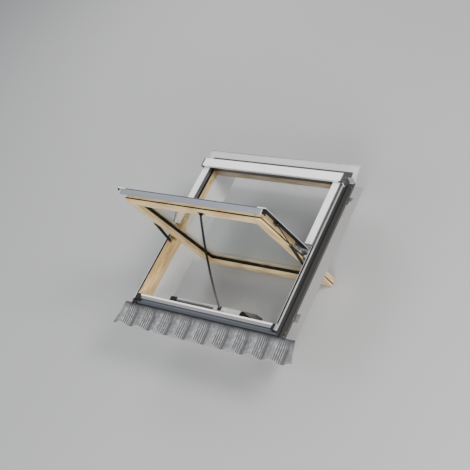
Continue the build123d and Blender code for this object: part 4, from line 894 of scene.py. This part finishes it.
# Chain: waisted plates, rollers and pins along the same bowed line as the CAD chain
BRACKET_V = -0.521
BRACKET_PLATE = 0.0030
BRACKET_JOINT = 0.0105
BRACKET_SCREW_RADIUS = 0.0038
BRACKET_SCREWS_HALF = 0.0165
CHAIN_FOOT_LIFT = 0.0075
CHAIN_FOOT = np.array((CHAIN_X, DRIVE[1], DRIVE_TOP + CHAIN_FOOT_LIFT))
CHAIN_RUN = sash(CHAIN_X, BRACKET_V, SASH_IN - BRACKET_JOINT) - CHAIN_FOOT
CHAIN_LENGTH = np.linalg.norm(CHAIN_RUN)
CHAIN_SAG = 0.020
LINKS = 46
PLATE_RADIUS = 0.0052
PLATE_WAIST = 0.0034
PLATE_THICKNESS = 0.0014
OUTER_PLATE_X = 0.0058
INNER_PLATE_X = 0.0042
ROLLER = ((-0.0026, 0.0034), (0.0026, 0.0034))
PIN = ((-0.0062, 0.0019), (0.0062, 0.0019))
bracket_screws_x = CHAIN_X + BRACKET_SCREWS_HALF * np.array((-1.0, 1.0))
places = sash(bracket_screws_x, BRACKET_V, SASH_IN - BRACKET_PLATE)
heads = screws(places, -OUT, BRACKET_SCREW_RADIUS)
piece("chain_bracket_screws", heads, bright_steel, "sash")


def chain_line():
    """The joints of the chain: its straight run, bowed sideways by a parabola of height CHAIN_SAG."""
    share = np.linspace(0.0, 1.0, LINKS + 1)[:, None]
    sideways = np.cross(X, CHAIN_RUN) / CHAIN_LENGTH
    return CHAIN_FOOT + share * CHAIN_RUN + 4 * CHAIN_SAG * share * (1 - share) * sideways


def chain_plate(length):
    """A link plate's outline: a half circle round each joint and a waist halfway between them."""
    turn = np.linspace(-pi / 2, pi / 2, 9)
    end = np.stack([length + PLATE_RADIUS * np.cos(turn), PLATE_RADIUS * np.sin(turn)], axis=1)
    start = np.stack([-PLATE_RADIUS * np.cos(turn), -PLATE_RADIUS * np.sin(turn)], axis=1)
    return np.concatenate([end, [(length / 2, PLATE_WAIST)], start, [(length / 2, -PLATE_WAIST)]])


joints = chain_line()
link_parts = []
for link, (joint, run) in enumerate(zip(joints, np.diff(joints, axis=0))):
    length = np.linalg.norm(run)
    ahead = run / length
    upright = np.cross(X, ahead)
    outer = OUTER_PLATE_X if link % 2 == 0 else INNER_PLATE_X
    for _, way in SIDES:
        plate = pushed(chain_plate(length), joint, ahead, upright, way * X, outer - PLATE_THICKNESS, outer)
        link_parts.append(plate)
    link_parts.append(turned(PIN, joint, X, 10))
    link_parts.append(turned(ROLLER, joint, X, 12))
chain_links = piece("chain_links", joined(link_parts), chain_steel, "chain", ("chain",))
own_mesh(chain_links)

# Rivets on the side gutters, where they meet the flashings above and below
RIVET = ((-0.0004, 0.0032), (0.0006, 0.0031), (0.0013, 0.0022), (0.0016, 0.0008))
GUTTER_SHEET = 0.0008
LOWER_RIVETS = (0.014, 0.044)
UPPER_RIVET = 0.029
gutter_low, gutter_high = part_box("side_flashing_right")
rivet_x = (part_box("side_cladding_right")[1].x + gutter_high.x) / 2
rivets_y = (*(gutter_low.y + up for up in LOWER_RIVETS), gutter_high.y - UPPER_RIVET)
rivets = [
    turned(RIVET, (way * rivet_x, y, gutter_low.z + GUTTER_SHEET), Z, 14)
    for _, way in SIDES
    for y in rivets_y
]
piece("gutter_rivets", joined(rivets), bright_steel, "frame")

# Pleated apron; each pleated group starts and ends at a share of its wave
APRON_WAVE = 0.150
APRON_WAVE_HEIGHT = 0.0252
APRON_PLEAT = 0.0125
APRON_PLEAT_HEIGHT = 0.0050
APRON_TAPER = 0.040
APRON_TROUGH_Z = -0.0235
APRON_FALL = 0.010
APRON_SAG = 0.012
APRON_SHEET = 0.0008
WAVE_AT_TOP = 0.30
PLEATS_START = 0.57
PLEATS_END = 1.005
PLEATS_SOFT = 0.03
RIPPLE = 0.0007
APRON_TOP_GAP = 0.0005
APRON_LOW_GAP = 0.0017
apron_low, apron_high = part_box("apron")
APRON_HALF = apron_high.x - HAIR
APRON_TOP = apron_high.y - APRON_TOP_GAP
APRON_LOW = apron_low.y + APRON_LOW_GAP


def apron_grid(columns=1640, rows=28):
    """The apron's surface, on a grid of u across and t down the slope.

    z is a sum: cosine waves that reach their full height a little below the top edge, upright pleats
    in the falling part of each wave, an even fall from top to bottom, and shallow sine ripples. y runs
    down with t, and the lower edge lies further down at the troughs than at the crests. The sides
    spread by APRON_TAPER from top to bottom.
    """
    u, t = np.meshgrid(np.linspace(-1.0, 1.0, columns), np.linspace(0.0, 1.0, rows), indexing="ij")
    x = u * (APRON_HALF - APRON_TAPER * (1.0 - t))
    phase = (x + APRON_HALF) / APRON_WAVE
    wave = (1.0 - np.cos(2 * pi * phase)) / 2
    rise = WAVE_AT_TOP + (1.0 - WAVE_AT_TOP) * np.clip((t - 0.06) * 3.2, 0.0, 1.0)
    place = phase % 1.0
    group = np.clip((place - PLEATS_START) / PLEATS_SOFT, 0, 1)
    group = group * np.clip((PLEATS_END - place) / PLEATS_SOFT, 0, 1)
    pleats = np.abs((((x + APRON_HALF) / APRON_PLEAT) % 1.0) * 2.0 - 1.0) ** 1.3
    z = APRON_TROUGH_Z - APRON_FALL * t + APRON_WAVE_HEIGHT * (1.0 - (1.0 - wave) * rise)
    z += APRON_PLEAT_HEIGHT * pleats * group * (0.4 + 0.6 * rise) - 0.0012 * group
    z += RIPPLE * np.sin(x * 91.0 + 4.0 * t) * np.sin(t * 17.0 + x * 23.0)
    y = APRON_TOP + (APRON_LOW - APRON_TOP) * t + APRON_SAG * wave * np.clip(t * 2 - 1, 0, 1) ** 2
    return np.stack([x, y, z], axis=2)


def pleat_shade(look):
    """Painted shade: darker valleys between the pleats of each group, and darker troughs of the long waves.

    A valley is where the place within a pleat is near its middle; a trough's shade is a cosine of the
    place within the wave, to a high power.
    """
    tree = look.node_tree
    coords = node(tree, "ShaderNodeTexCoord").outputs["Object"]
    split = node(tree, "ShaderNodeSeparateXYZ")
    tree.links.new(coords, split.inputs[0])
    shifted = math_node(tree, "ADD", split.outputs["X"], APRON_HALF)
    place = math_node(tree, "FRACT", math_node(tree, "DIVIDE", shifted, APRON_WAVE))
    pleat = math_node(tree, "FRACT", math_node(tree, "DIVIDE", shifted, APRON_PLEAT))
    inside = math_node(tree, "GREATER_THAN", place, 0.58)
    valley = math_node(tree, "ABSOLUTE", math_node(tree, "SUBTRACT", pleat, 0.5))
    tint(look, (0.055, 0.055, 0.058), inside, math_node(tree, "LESS_THAN", valley, 0.22))
    turn = math_node(tree, "MULTIPLY", math_node(tree, "SUBTRACT", place, 0.05), 2 * pi)
    trough = math_node(tree, "MAXIMUM", math_node(tree, "COSINE", turn), 0.0)
    trough = math_node(tree, "POWER", trough, 6.0)
    tint(look, (0.060, 0.062, 0.066), math_node(tree, "MULTIPLY", trough, 0.9))


pleat_shade(apron_sheet)
apron = thin_sheet(apron_grid(), APRON_SHEET)
piece("apron_sheet", apron, apron_sheet, "frame", ("apron",), radians(80))

# Floor, lights and surroundings
FLOOR_HALF = 14.0
FLOOR_Z = -0.43
floor_look = material("floor", (0.42, 0.42, 0.42), 0.85)[0]
floor_mesh = bpy.data.meshes.new("floor")
floor_corners = [(x * FLOOR_HALF, y * FLOOR_HALF, FLOOR_Z) for x, y in ((-1, -1), (1, -1), (1, 1), (-1, 1))]
floor_mesh.from_pydata(floor_corners, [], [(0, 1, 2, 3)])
floor_mesh.materials.append(floor_look)
floor = bpy.data.objects.new("floor", floor_mesh)
bpy.context.scene.collection.objects.link(floor)


def area_light(name, place, target, size, power, color):
    """A round light of a size and power at a place, turned towards its target."""
    data = bpy.data.lights.new(name, "AREA")
    data.shape = "DISK"
    data.size = size
    data.energy = power
    data.color = color
    made = bpy.data.objects.new(name, data)
    bpy.context.scene.collection.objects.link(made)
    made.location = place
    made.rotation_euler = (Vector(target) - Vector(place)).to_track_quat("-Z", "Y").to_euler()


area_light("key", (4.6, 0.9, 4.6), (0, 0, 0), 2.2, 330, (1.0, 0.98, 0.95))
area_light("front", (2.6, -4.2, 3.0), (0, 0, 0.1), 2.4, 230, (1.0, 0.99, 0.97))
area_light("fill", (-3.4, -2.6, 3.6), (0, 0, 0.1), 4.0, 90, (0.93, 0.96, 1.0))
area_light("back", (-2.4, 3.4, 2.8), (0, 0, 0.2), 3.0, 110, (1.0, 0.99, 0.97))

world = bpy.data.worlds.new("world")
bpy.context.scene.world = world
world.use_nodes = True
background = world.node_tree.nodes["Background"]
background.inputs["Color"].default_value = (0.86, 0.89, 0.94, 1.0)
background.inputs["Strength"].default_value = 0.55
